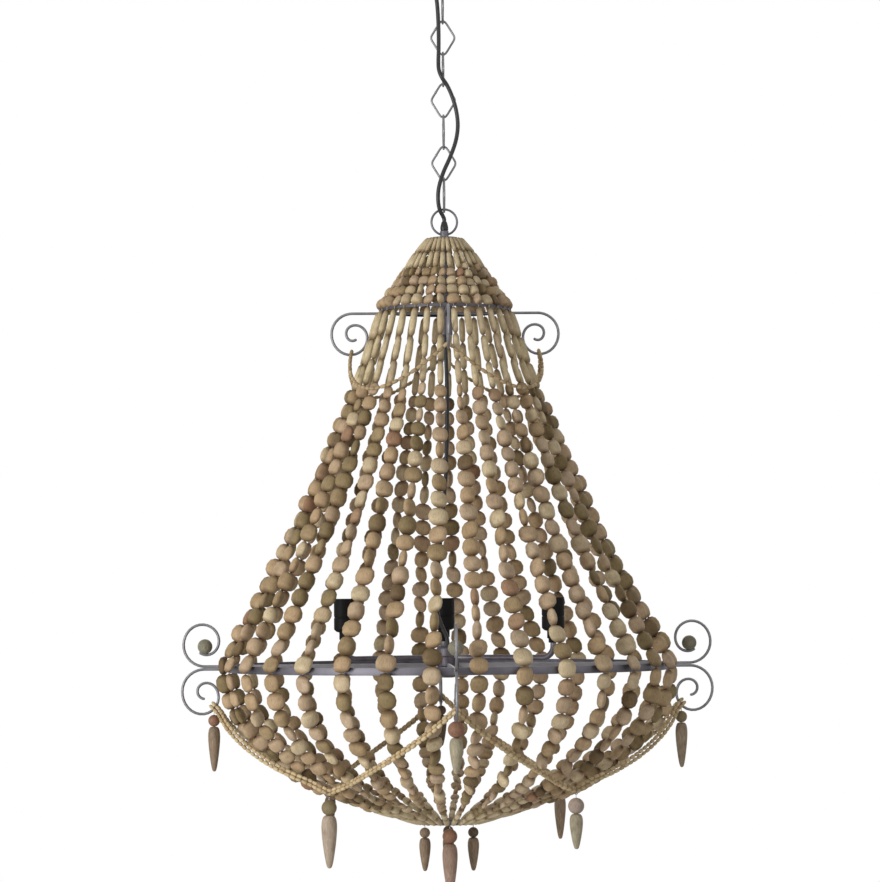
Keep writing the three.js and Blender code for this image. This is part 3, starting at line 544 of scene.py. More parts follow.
def strand_runs(angle, sway):
    """The dome, skirt and bowl runs of one strand, leaning aside by sway between the rings."""
    spread_share = math.cos(STRAND_ANGLE / 2) - math.sin(STRAND_ANGLE / 2)
    crown = ((CROWN_RADIUS + WIRE_CLEARANCE + WIRE_SEAT) / spread_share, (CROWN_LOW + CROWN_HIGH) / 2)
    bottom = ((BOTTOM_RADIUS + WIRE_CLEARANCE + WIRE_SEAT) / spread_share, (BOTTOM_LOW + BOTTOM_HIGH) / 2)
    upper = UPPER_RADIUS + WIRE_CLEARANCE + WIRE_SEAT
    big = RING_RADIUS + WIRE_CLEARANCE + BIG_RING_SEAT
    flat_runs = [
        outline_run(DOME_OUTLINE, crown, (upper, UPPER_HIGH - BAND_MARGIN)),
        outline_run(SKIRT_OUTLINE, (upper, UPPER_LOW - BAND_MARGIN), (big, RING_HIGH + BAND_MARGIN)),
        outline_run(BOWL_OUTLINE, (big, RING_LOW - BAND_MARGIN), bottom),
    ]
    aside = polar(1, angle + QUARTER)
    return [
        [polar(radius, angle, z) + aside * lean * math.sin(math.pi * i / (len(flat_run) - 1))
         for i, (radius, z) in enumerate(flat_run)]
        for lean, flat_run in zip(sway, flat_runs)
    ]


def tone_picker(base):
    """Picks a bead's stain: near its strand's own, now and then dark or reddish, and pale for sticks."""
    def pick(rng, kind):
        roll = rng.random()
        if kind == "stick":
            return clipped(rng.gauss(STICK_TONE, STICK_TONE_SPREAD), STICK_TONE_RANGE)
        if roll < ODD_CHANCE:
            return rng.uniform(*DARK_TONES)
        if roll > 1 - ODD_CHANCE:
            return rng.uniform(*RED_TONES)
        return clipped(rng.gauss(base, TONE_SPREAD), TONE_RANGE)
    return pick


def bead_sizes(total, table_at, biggest, rng):
    """Widths and lengths of the beads that fill a run from end to end."""
    sizes, distance = [], 0.0
    while distance < total:
        width, length = (share * biggest for share in table_at(distance))
        grow = rng.uniform(*SIZE_RANGE)
        sizes.append((width * grow, length * grow))
        distance += length * grow + BEAD_GAP
    if distance - total > sizes[-1][1] / 2:
        sizes.pop()
    fit = (total - BEAD_GAP * len(sizes)) / sum(length for width, length in sizes)
    return [(width, length * fit) for width, length in sizes]


def bead_places(run, sizes):
    """For each bead the distance along the run to its middle, its frame, its width and its length."""
    distance = 0.0
    for width, length in sizes:
        middle = distance + length / 2
        point, along = at_length(run, middle)
        yield middle, frame_at(point, along, polar(1, math.atan2(point.y, point.x))), width, length
        distance += length + BEAD_GAP


def bead_run(bm, layers, shapes, run, table_at, tones, biggest, rng, flat_at=None):
    """Threads beads along one run. table_at gives a bead's size at a distance, tones picks its stain, and
    near the distance flat_at the discs lie flat against the ring behind them."""
    sizes = bead_sizes(run_length(run), table_at, biggest, rng)
    for middle, placed, width, length in bead_places(run, sizes):
        turn = rng.uniform(0, TURN)
        against_ring = flat_at is not None and abs(middle - flat_at) < biggest
        kind, size = "disc", (width, width, length)
        if width < STICK_SHARE * biggest:
            kind = "stick"
        elif not against_ring and rng.random() >= DISC_CHANCE:
            kind, size = "ball", (width * rng.uniform(*BALL_RANGE), width * rng.uniform(*BALL_RANGE), length)
        if against_ring:
            turn = QUARTER + rng.uniform(-RING_SPREAD, RING_SPREAD)
        elif rng.random() < EDGE_CHANCE:
            turn = QUARTER + rng.gauss(0, EDGE_SPREAD)
        tone = tones(rng, kind)
        thread(bm, layers, shapes[kind], placed @ Matrix.Rotation(turn, 4, "Z"), size, tone, rng)


def wire_turn(radius, angle, z):
    """The half turn of wire from one strand to the next, inside both."""
    middle = polar(radius * math.cos(STRAND_ANGLE / 2), angle + STRAND_ANGLE / 2, z)
    inward = polar(-1, angle + STRAND_ANGLE / 2)
    aside = polar(1, angle + STRAND_ANGLE / 2 + QUARTER)
    reach = radius * math.sin(STRAND_ANGLE / 2)
    return [
        middle + inward * reach * math.sin(swing) - aside * reach * math.cos(swing)
        for swing in (math.pi * n / HALF_TURN_STEPS for n in range(1, HALF_TURN_STEPS))
    ]


class CHANDELIER_OT_bead_strands(bpy.types.Operator):
    """Thread the 32 strands of turned wooden beads from the crown over both rings to the bottom ring"""
    bl_idname = "chandelier.bead_strands"
    bl_label = "Bead strands"

    def execute(self, context):
        sizes = context.scene.chandelier_sizes
        rng, hang = random.Random(sizes.seed), random.Random(HANG_SEED)
        shapes = {
            "disc": bead_shape("disc_bead", around=12, down=6, flat=0.46, blunt=0.85),
            "ball": bead_shape("ball_bead", around=10, down=6, blunt=0.8),
            "stick": bead_shape("stick_bead", around=8, down=6, blunt=0.4),
        }
        stains = bead_stains(context.scene.chandelier_finishes)
        # end_shade is the colour of the painted shade at the bead ends, where the beads touch
        wood = bead_wood("Stained whitewood beads", stains, grain_mm=0.9, end_shade=(0.42, 0.35, 0.28, 1))
        steel = aged_zinc("Blackened strand wire", "#4a4744", "#5f5b57", grain_mm=0.4, roughness=0.5)
        for group in range(STRANDS // STRANDS_PER_GROUP):
            beads = bmesh.new()
            layers = bead_layers(beads)
            path = []
            for n in range(STRANDS_PER_GROUP):
                angle = (group * STRANDS_PER_GROUP + n + 0.5) * STRAND_ANGLE
                drift, swing = BACK_LEAN if math.sin(angle) > 0 else FRONT_LEAN
                sway = [(drift + hang.uniform(-swing, swing)) * lean * sizes.strand_sway for lean in RUN_LEANS]
                dome, skirt, bowl = strand_runs(angle, sway)
                # The beads of the skirt and the bowl are on one run, because they pass outside the big ring
                lower, at_ring = skirt + bowl, run_length(skirt)
                dome_length, bowl_length = run_length(dome), run_length(lower) - at_ring
                pace = rng.uniform(*PACE_RANGE)

                def dome_table(distance):
                    return share_of(DOME_BEADS, min(distance * pace / dome_length, 1))

                def lower_table(distance):
                    if distance < at_ring:
                        return share_of(SKIRT_BEADS, distance / at_ring)
                    return share_of(BOWL_BEADS, min((distance - at_ring) / bowl_length, 1))

                base = rng.uniform(*STRAND_TONES)
                for run, table, tone, flat_at in ((dome, dome_table, base + PALER_DOME, None),
                                                  (lower, lower_table, base, at_ring)):
                    bead_run(beads, layers, shapes, run, table, tone_picker(tone), sizes.biggest_bead, rng,
                             flat_at)
                line = dome + lower
                path += line if n % 2 == 0 else line[::-1]
                if n < STRANDS_PER_GROUP - 1:
                    end = line[-1] if n % 2 == 0 else line[0]
                    path += wire_turn(Vector((end.x, end.y)).length, angle, end.z)
            name = f"bead_strands_{group + 1}"
            finish_piece(beads, f"wooden_{name}", wood, "bead_wood", node=name, smooth_angle=80)
            wire_piece(f"strand_wire_{group + 1}", path, WIRE_RADIUS, steel, "zinc_wire", sides=5,
                       smooth_angle=80)
        return {"FINISHED"}


# How much of a side each bend of a link takes, at its two ends and at its two sides
LINK_END_BEND, LINK_SIDE_BEND = 0.34, 0.15
LINK_BEND_STEPS = 5
# The frame's link wire has five sides, so half its box's thickness is this share of the round wire's radius
LINK_BOX_SHARE = math.cos(math.pi / 10)
# How thick the weld on a link is, as a share of the wire
WELD_SHARE = 1.28

# The cup's outline from its rim to its hole, as shares of its radius and height, and its wall and hole
CUP_OUTLINE = [(1, 0), (1, 0.55), (0.985, 0.68), (0.94, 0.8), (0.87, 0.89), (0.77, 0.955), (0.62, 1)]
CUP_WALL, CUP_HOLE = 1.2 * MM, 4.3 * MM
# Outlines as (share of the radius, millimetres above the foot)
BUSH_OUTLINE = [(0, 0), (0.5, 0), (0.66, 1.2), (0.8, 3), (1, 4.4), (1, 6.7), (0.69, 6.7), (0.69, 11.5),
                (0, 11.5)]
GLAND_OUTLINE = [(0, 0), (1, 0), (1, 5.1), (0.86, 7.7), (0.654, 12), (0, 12)]

EYE_WIRE, HOOK_SHANK, SHANK_FOOT = 2 * MM, 4 * MM, 2.2 * MM
THREAD_PITCH, THREAD_BELOW_CUP = 1.5 * MM, 12 * MM
# How deep the thread's root and crest lie in the shank, and the share of the pitch that each is down
THREAD_FORM = [(0.5 * MM, 0.15), (0.05 * MM, 0.6)]
SHANK_CHAMFER = 0.4 * MM
NUT_CHAMFER = 0.6 * MM

HANGING_WIRE, COLLAR_RADIUS, STEM_BORE, FIT = 1.5 * MM, 5.6 * MM, 3 * MM, 0.3 * MM
CROWN_ROUNDING, TUBE_ROUNDING, SMALL_ROUNDING, DOME_ROUNDING = 0.8 * MM, 1.1 * MM, 0.5 * MM, 1.2 * MM
# Each rolled ring's thickness and the steps round it
ROLLED_RINGS = {"upper_ring": (2.5 * MM, 96), "big_ring": (3 * MM, 192), "bottom_ring": (4.7 * MM, 64)}


def link_path(length, width, wire_radius):
    """The centreline of a link bent to a diamond with rounded corners, in the YZ plane."""
    tall = (length / 2 - wire_radius) / (1 - LINK_END_BEND / 2)
    wide = (width / 2 - wire_radius) / (1 - LINK_SIDE_BEND / 2)
    corners = [UP * tall, DEEP * wide, UP * -tall, DEEP * -wide]
    path = []
    for i, corner in enumerate(corners):
        bend = LINK_END_BEND if i % 2 == 0 else LINK_SIDE_BEND
        start, end = corner.lerp(corners[i - 1], bend), corner.lerp(corners[(i + 1) % 4], bend)
        for n in range(LINK_BEND_STEPS + 1):
            t = n / LINK_BEND_STEPS
            path.append(start.lerp(corner, t).lerp(corner.lerp(end, t), t))
    return path


class CHANDELIER_OT_chain(bpy.types.Operator):
    """Bend the seven wire links, each turned a quarter from the one above"""
    bl_idname = "chandelier.chain"
    bl_label = "Chain"

    def execute(self, context):
        metal = aged_zinc("Zinc-plated chain wire", "#636368", "#858589", grain_mm=0.5, roughness=0.42)
        for n in range(LINKS):
            name = f"chain_link_{n + 1}"
            low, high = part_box(name)
            thin, width = sorted((high[0] - low[0], high[1] - low[1]))
            turn = QUARTER if high[0] > high[1] else 0.0
            radius = thin / 2 / LINK_BOX_SHARE
            place = Matrix.Translation(UP * middle_of(name).z) @ Matrix.Rotation(turn, 4, "Z")
            path = [place @ point for point in link_path(high[2] - low[2], width, radius)]
            bm = bmesh.new()
            wire(bm, path, radius, closed=True, side=place.to_3x3() @ SIDEWAYS)
            # The butt weld in the middle of one straight side of the link
            weld = path[LINK_BEND_STEPS].lerp(path[LINK_BEND_STEPS + 1], 0.5)
            ball(bm, weld, radius * WELD_SHARE, around=12, down=8)
            finish_piece(bm, f"wire_{name}", metal, "zinc_wire", f"link_{n + 1}", name)
        return {"FINISHED"}


class CHANDELIER_OT_ceiling_fitting(bpy.types.Operator):
    """Turn the cup, bush, eye hook and nut, and put plated steel on the ceiling plate"""
    bl_idname = "chandelier.ceiling_fitting"
    bl_label = "Ceiling fitting"

    def execute(self, context):
        steel = zinc_steel("Bright zinc-plated steel")
        painted = aged_zinc("Zinc-grey pressed cup", "#5d5a61", "#6f6c73", grain_mm=0.6, roughness=0.5)
        black = black_plastic("Moulded black rubber", "#1b1a1a", roughness=0.55, grain_mm=0.8, depth_mm=0.05)
        radius, cup_foot, _ = spin_of("ceiling_cup")
        inside_foot = cup_foot + CUP_WALL
        shell = [(radius * out, cup_foot * down) for out, down in CUP_OUTLINE]
        shell += [(CUP_HOLE, cup_foot), (CUP_HOLE, inside_foot)]
        shell += [(radius * out - CUP_WALL, inside_foot * down) for out, down in reversed(CUP_OUTLINE)]
        turned_piece("pressed_ceiling_cup", [*shell, shell[0]], painted, "aged_zinc", segments=72,
                     body=FITTING, node="ceiling_cup")

        low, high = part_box("cup_cable_bush")
        middle = middle_of("cup_cable_bush")
        bush = lathe_outline(BUSH_OUTLINE, (high[0] - low[0]) / 2, low[2])
        turned_piece("rubber_cable_bush", rounded(bush, SMALL_ROUNDING), black, "black_plastic",
                     Matrix.Translation((middle.x, middle.y, 0)), body=FITTING, node="cup_cable_bush")
        self.eye_hook(steel, cup_foot - THREAD_BELOW_CUP)

        low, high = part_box("cup_nut")
        across = max(high[0], high[1])
        bm = bmesh.new()
        bmesh.ops.create_cone(bm, cap_ends=True, segments=6, radius1=across, radius2=across,
                              depth=high[2] - low[2], matrix=Matrix.Translation(middle_of("cup_nut")))
        bmesh.ops.bevel(bm, geom=list(bm.edges), offset=NUT_CHAMFER, segments=2, profile=0.5,
                        affect="EDGES", material=-1)
        finish_piece(bm, "hexagon_cup_nut", steel, "plated_steel", FITTING, "cup_nut", smooth_angle=25)
        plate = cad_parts["ceiling_plate"].data
        plate.materials.clear()
        plate.materials.append(steel)
        return {"FINISHED"}

    def eye_hook(self, steel, thread_low):
        """The closed eye with its shank, threaded down to a height."""
        low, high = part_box("ceiling_hook")
        eye_radius = high[0] - EYE_WIRE
        eye = UP * (low[2] + EYE_WIRE + eye_radius)
        eye_top = eye.z + eye_radius
        shank = [(0, high[2])]
        for n in range(int((high[2] - thread_low) / THREAD_PITCH)):
            z = high[2] - n * THREAD_PITCH
            shank += [(HOOK_SHANK - depth, z - down * THREAD_PITCH) for depth, down in THREAD_FORM]
        shank += [(HOOK_SHANK - SHANK_CHAMFER, thread_low), (HOOK_SHANK, thread_low - SHANK_CHAMFER),
                  (HOOK_SHANK, eye_top + HOOK_SHANK), (SHANK_FOOT, eye_top), (0, eye_top)]
        bm = bmesh.new()
        wire(bm, circle_path(eye, eye_radius), EYE_WIRE, sides=16, closed=True, side=DEEP)
        turned(bm, shank)
        finish_piece(bm, "threaded_eye_hook", steel, "plated_steel", FITTING, "ceiling_hook")


class CHANDELIER_OT_stem(bpy.types.Operator):
    """Turn the hanging ring with its collar, the cable gland, crown ring, stem and upper hub"""
    bl_idname = "chandelier.stem"
    bl_label = "Stem"

    def execute(self, context):
        metal = aged_zinc("Aged zinc turnings", "#4f4b53", "#6a666d", grain_mm=0.6, roughness=0.46)
        black = black_plastic("Black nylon gland", "#141313", roughness=0.42, grain_mm=0.6, depth_mm=0.04)
        outside, collar_low, ring_top = spin_of("hanging_ring")
        gland_radius, gland_low, _ = spin_of("stem_cable_gland")
        collar = tube_outline(STEM_BORE, COLLAR_RADIUS, collar_low, gland_low - FIT)
        bm = bmesh.new()
        wire(bm, circle_path(UP * (ring_top - outside), outside - HANGING_WIRE), HANGING_WIRE, sides=14,
             closed=True, side=DEEP)
        turned(bm, rounded(collar, SMALL_ROUNDING), segments=36)
        finish_piece(bm, "hanging_ring_and_collar", metal, "aged_zinc", node="hanging_ring")

        gland = lathe_outline(GLAND_OUTLINE, gland_radius, gland_low)
        turned_piece("domed_cable_gland", rounded(gland, DOME_ROUNDING), black, "black_plastic",
                     node="stem_cable_gland")
        for name, node, bore, rounding, steps in (
                ("disc_crown_ring", "crown_ring", COLLAR_RADIUS + FIT, CROWN_ROUNDING, 64),
                ("turned_upper_hub", "upper_hub", STEM_BORE, TUBE_ROUNDING, 48),
                ("tube_centre_stem", "centre_stem", STEM_BORE, TUBE_ROUNDING, 48)):
            outline = rounded(tube_outline(bore, *spin_of(node)), rounding)
            turned_piece(name, outline, metal, "aged_zinc", segments=steps, node=node)
        return {"FINISHED"}


class CHANDELIER_OT_rings(bpy.types.Operator):
    """Roll the upper ring, the big ring and the bottom ring from flat bar"""
    bl_idname = "chandelier.rings"
    bl_label = "Rings"

    def execute(self, context):
        metal = aged_zinc("Aged zinc rolled bar", "#46434c", "#5e5b65", grain_mm=0.7, roughness=0.5)
        # The upper ring's bar is a darker copy of the same zinc: painted shade, for the shadow that the dome's
        # beads cast on it
        painted_shade_metal = aged_zinc("Blackened zinc rolled bar", "#2f2d33", "#46434b", grain_mm=0.7, roughness=0.6)
        for node, (thickness, steps) in ROLLED_RINGS.items():
            radius, low, high = spin_of(node)
            # The outline starts in the middle of the inner face, so that all four corners are rounded
            start = (radius - thickness, (low + high) / 2)
            band = [start, *tube_outline(radius - thickness, radius, low, high)[:-1], start]
            turned_piece(f"rolled_{node}", rounded(band, SMALL_ROUNDING, steps=2),
                         painted_shade_metal if node == "upper_ring" else metal, "aged_zinc", segments=steps, node=node)
        return {"FINISHED"}


# Scrolls from the straight rod inwards: quarter turns, and the share of the radius there
UPPER_SCROLL = [(0, 1), (1, 0.97), (2, 0.97), (3, 0.71), (4, 0.42), (5, 0.27), (6, 0.3), (6.4, 0.31)]
RISING_SCROLL = [(0, 1), (1, 0.91), (2, 0.9), (3, 0.68), (4, 0.46), (4.25, 0.42)]
SINKING_SCROLL = [(0, 1), (1, 0.98), (2, 1.02), (3, 0.62), (4, 0.37), (5, 0.29), (6, 0.33)]
UPPER_SCROLL_REACH = 121.5 * MM
UPPER_SCROLL_RADIUS = 27.3 * MM
LOWER_SCROLL_REACH = 316 * MM
LOWER_SCROLL_RADIUS = 28.5 * MM
SCROLL_STEPS, ROD_STEPS = 8, 6
BALL_RADIUS = 9.6 * MM
# How far the ball sits inwards and below the scroll's middle, on the rod's end
BALL_INWARDS, BALL_BELOW = 1.7 * MM, 2.8 * MM
ROD_RADIUS = 1.8 * MM
# The rod's cut end: how far each step of its rounding stands out and how thick it is, as shares of the radius
ROD_END = [(0.5, 0.8), (0.75, 0.45)]
UPPER_ROD_Z = UPPER_LOW - FIT - ROD_RADIUS
# A lower arm's bar fills a slot of the big ring from the top down to this far above the ring's foot
BAR_ABOVE_FOOT = 2.1 * MM
ARM_HIGH, ARM_LOW = RING_HIGH, RING_LOW + BAR_ABOVE_FOOT
BAR_HALF, BAR_BEVEL, BAR_PAST_RING = 1.5 * MM, 0.5 * MM, 3 * MM

# Outlines as (share of the radius, millimetres above the foot), and the socket's and contact's in millimetres
LAMP_HUB_OUTLINE = [(0, 0), (0.5, 0), (0.8, 2), (1, 5), (1, 14), (0.9, 15), (0.9, 27), (1, 28), (1, 38),
                    (0.75, 42), (0, 42)]
SOCKET_OUTLINE = [(0, 0), (6, 0), (6, 5), (7.8, 6), (7.8, 15), (11.5, 16), (14.5, 19), (14.5, 33),
                  (13.9, 33.6), (13.9, 34.8), (14.5, 35.4), (14.5, 58), (12.5, 58), (12.5, 28), (0, 28)]
CONTACT_OUTLINE = [(0, 28), (4, 28), (4, 29.2), (2.4, 30.6), (0, 30.8)]
HUB_ROUNDING, SOCKET_ROUNDING = 0.9 * MM, 0.5 * MM
LAMP_REACH, LAMP_ARM_RADIUS, LAMP_BEND, LAMP_STEPS = 153 * MM, 3.8 * MM, 15 * MM, 10
# The frame's lamp arms have six sides, a flat one underneath, which lies at this share of the radius
LAMP_ARM_FLAT_SHARE = math.cos(math.pi / 6)


def straight_run(start, end, z, steps):
    """Points along X from start to end."""
    return [Vector((start + (end - start) * i / steps, 0, z)) for i in range(steps + 1)]


def scroll(reach, centre_z, radius, shares, side):
    """A flat scroll in the XZ plane. side is 1 for one that rises and -1 for one that sinks."""
    path = []
    for quarter, share in smooth_run(shares, SCROLL_STEPS):
        angle = quarter * QUARTER
        path.append(Vector((reach + radius * share * math.sin(angle), 0,
                            centre_z - side * radius * share * math.cos(angle))))
    return path


def bent_rod(bm, path):
    """A rod of one thickness whose cut end is a little rounded over."""
    direction = (path[-1] - path[-2]).normalized()
    ends = [path[-1] + direction * ROD_RADIUS * out for out, thick in ROD_END]
    radii = [ROD_RADIUS] * len(path) + [ROD_RADIUS * thick for out, thick in ROD_END]
    wire(bm, path + ends, radii, sides=14, side=DEEP)


def bevelled_bar(bm, low, high, bevel):
    """A bar between two corners with its edges broken."""
    size, centre = high - low, (low + high) / 2
    place = Matrix.Translation(centre) @ Matrix.Diagonal((*size, 1))
    bar = bmesh.ops.create_cube(bm, size=1, matrix=place)["verts"]
    edges = list({edge for vert in bar for edge in vert.link_edges})
    bmesh.ops.bevel(bm, geom=edges, offset=bevel, segments=2, profile=0.5, affect="EDGES", material=-1)


class CHANDELIER_OT_scroll_arms(bpy.types.Operator):
    """Bend the four upper scrolls and the four pairs of lower scrolls, with their wooden balls"""
    bl_idname = "chandelier.scroll_arms"
    bl_label = "Scroll arms"

    def execute(self, context):
        metal = aged_zinc("Zinc-grey bent rod", "#6a686c", "#88878a", grain_mm=0.5, roughness=0.46)
        wood = carved_wood("Grey-stained turned ball", "#625e4f", "#8f8a76", grain_mm=0.9)
        for n in range(SIDES):
            turn = Matrix.Rotation(n * QUARTER, 4, "Z")
            for kind, form, build in (("upper", "bent", self.upper_arm), ("lower", "paired", self.lower_arm)):
                bm = bmesh.new()
                build(bm)
                bmesh.ops.transform(bm, matrix=turn, verts=bm.verts)
                name = f"{kind}_scroll_arm_{n + 1}"
                finish_piece(bm, f"{form}_{name}", metal, "zinc_wire", node=name)
            name = f"scroll_ball_{n + 1}"
            centre = middle_of(name) + polar(-BALL_INWARDS, n * QUARTER, -BALL_BELOW)
            ball_piece(f"turned_{name}", centre, BALL_RADIUS, wood, "carved_wood", around=28, down=18,
                       node=name)
        return {"FINISHED"}

    def upper_arm(self, bm):
        edge = spin_of("upper_hub")[0]
        rod = straight_run(edge, UPPER_RADIUS, UPPER_ROD_Z, ROD_STEPS)
        bent_rod(bm, rod + scroll(UPPER_SCROLL_REACH, UPPER_ROD_Z - UPPER_SCROLL_RADIUS, UPPER_SCROLL_RADIUS,
                                  UPPER_SCROLL, -1))

    def lower_arm(self, bm):
        bevelled_bar(bm, Vector((spin_of("lamp_hub")[0], -BAR_HALF, ARM_LOW)),
                     Vector((RING_RADIUS + BAR_PAST_RING, BAR_HALF, ARM_HIGH)), BAR_BEVEL)
        for shares, z, side in ((RISING_SCROLL, ARM_HIGH - ROD_RADIUS, 1),
                                (SINKING_SCROLL, ARM_LOW + ROD_RADIUS, -1)):
            rolled = scroll(LOWER_SCROLL_REACH, z + side * LOWER_SCROLL_RADIUS, LOWER_SCROLL_RADIUS,
                            shares, side)
            bent_rod(bm, [Vector((RING_RADIUS, 0, z))] + rolled)


class CHANDELIER_OT_lamps(bpy.types.Operator):
    """Turn the lamp hub, bend the three lamp arms and mould the black candle sockets"""
    bl_idname = "chandelier.lamps"
    bl_label = "Lamps"

    def execute(self, context):
        metal = aged_zinc("Aged zinc lamp frame", "#49454c", "#625e65", grain_mm=0.6, roughness=0.48)
        black = black_plastic("Moulded black thermoplastic", "#0c0b0b", roughness=0.55, grain_mm=0.7,
                              depth_mm=0.04, sheen=0.15)
        plated = zinc_steel("Plated lamp contact")
        hub_radius, hub_low, _ = spin_of("lamp_hub")
        hub = rounded(lathe_outline(LAMP_HUB_OUTLINE, hub_radius, hub_low), HUB_ROUNDING, steps=2)
        turned_piece("turned_lamp_hub", hub, metal, "aged_zinc", segments=56, node="lamp_hub")

        arm_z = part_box("lamp_arm_1")[0][2] + LAMP_ARM_RADIUS * LAMP_ARM_FLAT_SHARE
        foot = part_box("lamp_socket_1")[0][2]
        elbow = LAMP_REACH - LAMP_BEND
        path = straight_run(hub_radius, elbow, arm_z, LAMP_STEPS)[:-1]
        for angle in (QUARTER * i / LAMP_STEPS for i in range(LAMP_STEPS + 1)):
            rise = LAMP_BEND * (1 - math.cos(angle))
            path.append(Vector((elbow + LAMP_BEND * math.sin(angle), 0, arm_z + rise)))
        path.append(Vector((LAMP_REACH, 0, foot)))
        socket = rounded(lathe_outline(SOCKET_OUTLINE, MM, foot), SOCKET_ROUNDING, steps=2)
        contact = lathe_outline(CONTACT_OUTLINE, MM, foot)
        for n in range(LAMPS):
            angle = QUARTER + TURN * n / LAMPS
            seat = Matrix.Translation(polar(LAMP_REACH, angle))
            wire_piece(f"bent_lamp_arm_{n + 1}", path, LAMP_ARM_RADIUS, metal, "aged_zinc", sides=20,
                       side=DEEP, place=Matrix.Rotation(angle, 4, "Z"), node=f"lamp_arm_{n + 1}")
            turned_piece(f"moulded_lamp_socket_{n + 1}", socket, black, "black_plastic", seat, segments=48,
                         node=f"lamp_socket_{n + 1}")
            turned_piece(f"lamp_contact_{n + 1}", contact, plated, "plated_steel", seat, segments=24)
        return {"FINISHED"}


CABLE_RADIUS = 2.65 * MM
CABLE_STEPS = 6
CLOSEST_POINTS = 0.2 * MM
# The supply cable's route beside the chain in millimetres, and the lamp cable's sways in millimetres at
# shares of its way down
SUPPLY_ROUTE = [
    (-12.4, -11.6, -62), (-9, -11, -80), (-6.8, -10, -100), (-5.8, -10, -125), (-5.8, -10.5, -150),
    (-6.4, -11, -168), (-5.8, -13.6, -180), (-2.2, -15.4, -190), (4.6, -13, -200), (11, -11.5, -214),
    (16.5, -10, -233), (18.4, -9.5, -253), (15.5, -9.5, -273), (8, -9.5, -294), (-1, -9.5, -314),
    (-7, -9, -334), (-8, -7.8, -350), (-6, -4.6, -362), (-2.6, -1.8, -368.5), (-0.3, -0.2, -373.3),
]
LAMP_SWAYS = [
    (0.02, 0), (0.2, 2), (0.42, 0), (0.52, -3), (0.6, -6.3), (0.66, -8.2), (0.72, -10.5), (0.785, -13),
    (0.85, -14.5), (0.905, -12), (0.945, -6), (0.97, -1.5), (0.99, 0),
]


def between_heights(path, top, bottom):
    """The part of a falling path between two heights, with its cut ends."""
    kept = []
    for a, b in zip(path, path[1:]):
        for z in (top, bottom):
            if b.z < z < a.z:
                kept.append(a.lerp(b, (a.z - z) / (a.z - b.z)))
        if bottom <= b.z <= top:
            kept.append(b.copy())
    if bottom <= path[0].z <= top:
        kept.insert(0, path[0].copy())
    kept.sort(key=lambda point: -point.z)
    return [point for i, point in enumerate(kept) if i == 0 or (point - kept[i - 1]).length > CLOSEST_POINTS]


class CHANDELIER_OT_cables(bpy.types.Operator):
    """Run the supply cable beside the chain and the lamp cable down the middle"""
    bl_idname = "chandelier.cables"
    bl_label = "Cables"

    def execute(self, context):
        sheath = cable_sheath("Smooth black cable sheath")
        bush_low, bush_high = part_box("cup_cable_bush")
        start = ((bush_low[0] + bush_high[0]) / 2, (bush_low[1] + bush_high[1]) / 2, bush_low[2])
        end = (0, 0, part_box("stem_cable_gland")[1][2])
        route = [start, *(tuple(c * MM for c in point) for point in SUPPLY_ROUTE), end]
        path = [Vector(point) for point in smooth_run(route, CABLE_STEPS)]
        middles = [sum(corner[2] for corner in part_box(f"chain_link_{n + 1}")) / 2 for n in range(LINKS)]
        cuts = [path[0].z, *middles, path[-1].z]
        for n, (top, bottom) in enumerate(zip(cuts, cuts[1:])):
            part = between_heights(path, top, bottom)
            piece = wire_piece(f"supply_cable_run_{n + 1}", part, CABLE_RADIUS, sheath, "cable_sheath",
                               sides=14, body=None, node=None if n else "supply_cable")
            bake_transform(piece)
            tuple(part[0])
            run_length(part)
            [tuple(p) for p in part]

        top = (0, 0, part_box("upper_hub")[0][2])
        bottom = (0, 0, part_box("lamp_hub")[1][2])
        sways = [(sway * MM, 0, top[2] + (bottom[2] - top[2]) * down) for down, sway in LAMP_SWAYS]
        path = [Vector(point) for point in smooth_run([top, *sways, bottom], CABLE_STEPS)]
        piece = wire_piece("lamp_cable_run", path, CABLE_RADIUS, sheath, "cable_sheath", sides=14,
                           node="lamp_cable")
        tuple(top)
        run_length(path)
        [tuple(p) for p in path]
        return {"FINISHED"}


STRING_RADIUS = 2.8 * MM
THREAD_RADIUS = 0.45 * MM
UPPER_SWAG_BULGE = 14 * MM
# How much of a lower swag's sag is a straight V, drawn by its drop
SWAG_PULL = 0.6
SWAG_STEPS = 60
# A slim bead's length as a share of its width, and how far a strand's beads stand out as a share of theirs
SLIM_SHARE, BEAD_OUT_SHARE = 1.9, 0.44
UPPER_TONE, LOWER_TONE = 0.34, 0.62
SWAG_TONE_SPREAD, SWAG_TONE_RANGE = 0.12, (0.15, 1.0)
SWAG_STAINS = [(0.0, "#6b5a40"), (0.12, "#a08a66"), (0.35, "#b39b78"), (0.6, "#c8b48d"), (0.85, "#d4c29c"),
               (1.0, "#bb9d74")]


def strand_edge(run, beads, biggest):
    """The reach at a height of a string that lies on the strands' beads. run is one strand at angle 0."""
    total, distance, edge = run_length(run), 0.0, []
    for before, point, after in zip([run[0], *run], run, [*run[1:], run[-1]]):
        distance += (point - before).length
        thickness = share_of(beads, min(distance / total, 1))[0] * biggest * BEAD_OUT_SHARE
        along = (after - before).normalized()
        out = Vector((-along.z, 0, along.x)) * (thickness + STRING_RADIUS)
        edge.append(Vector((point.x, 0, point.z)) + out)

    def reach(z):
        for a, b in zip(edge, edge[1:]):
            if b.z <= z <= a.z:
                return a.lerp(b, (a.z - z) / (a.z - b.z)).x
        return 0.0
    return reach


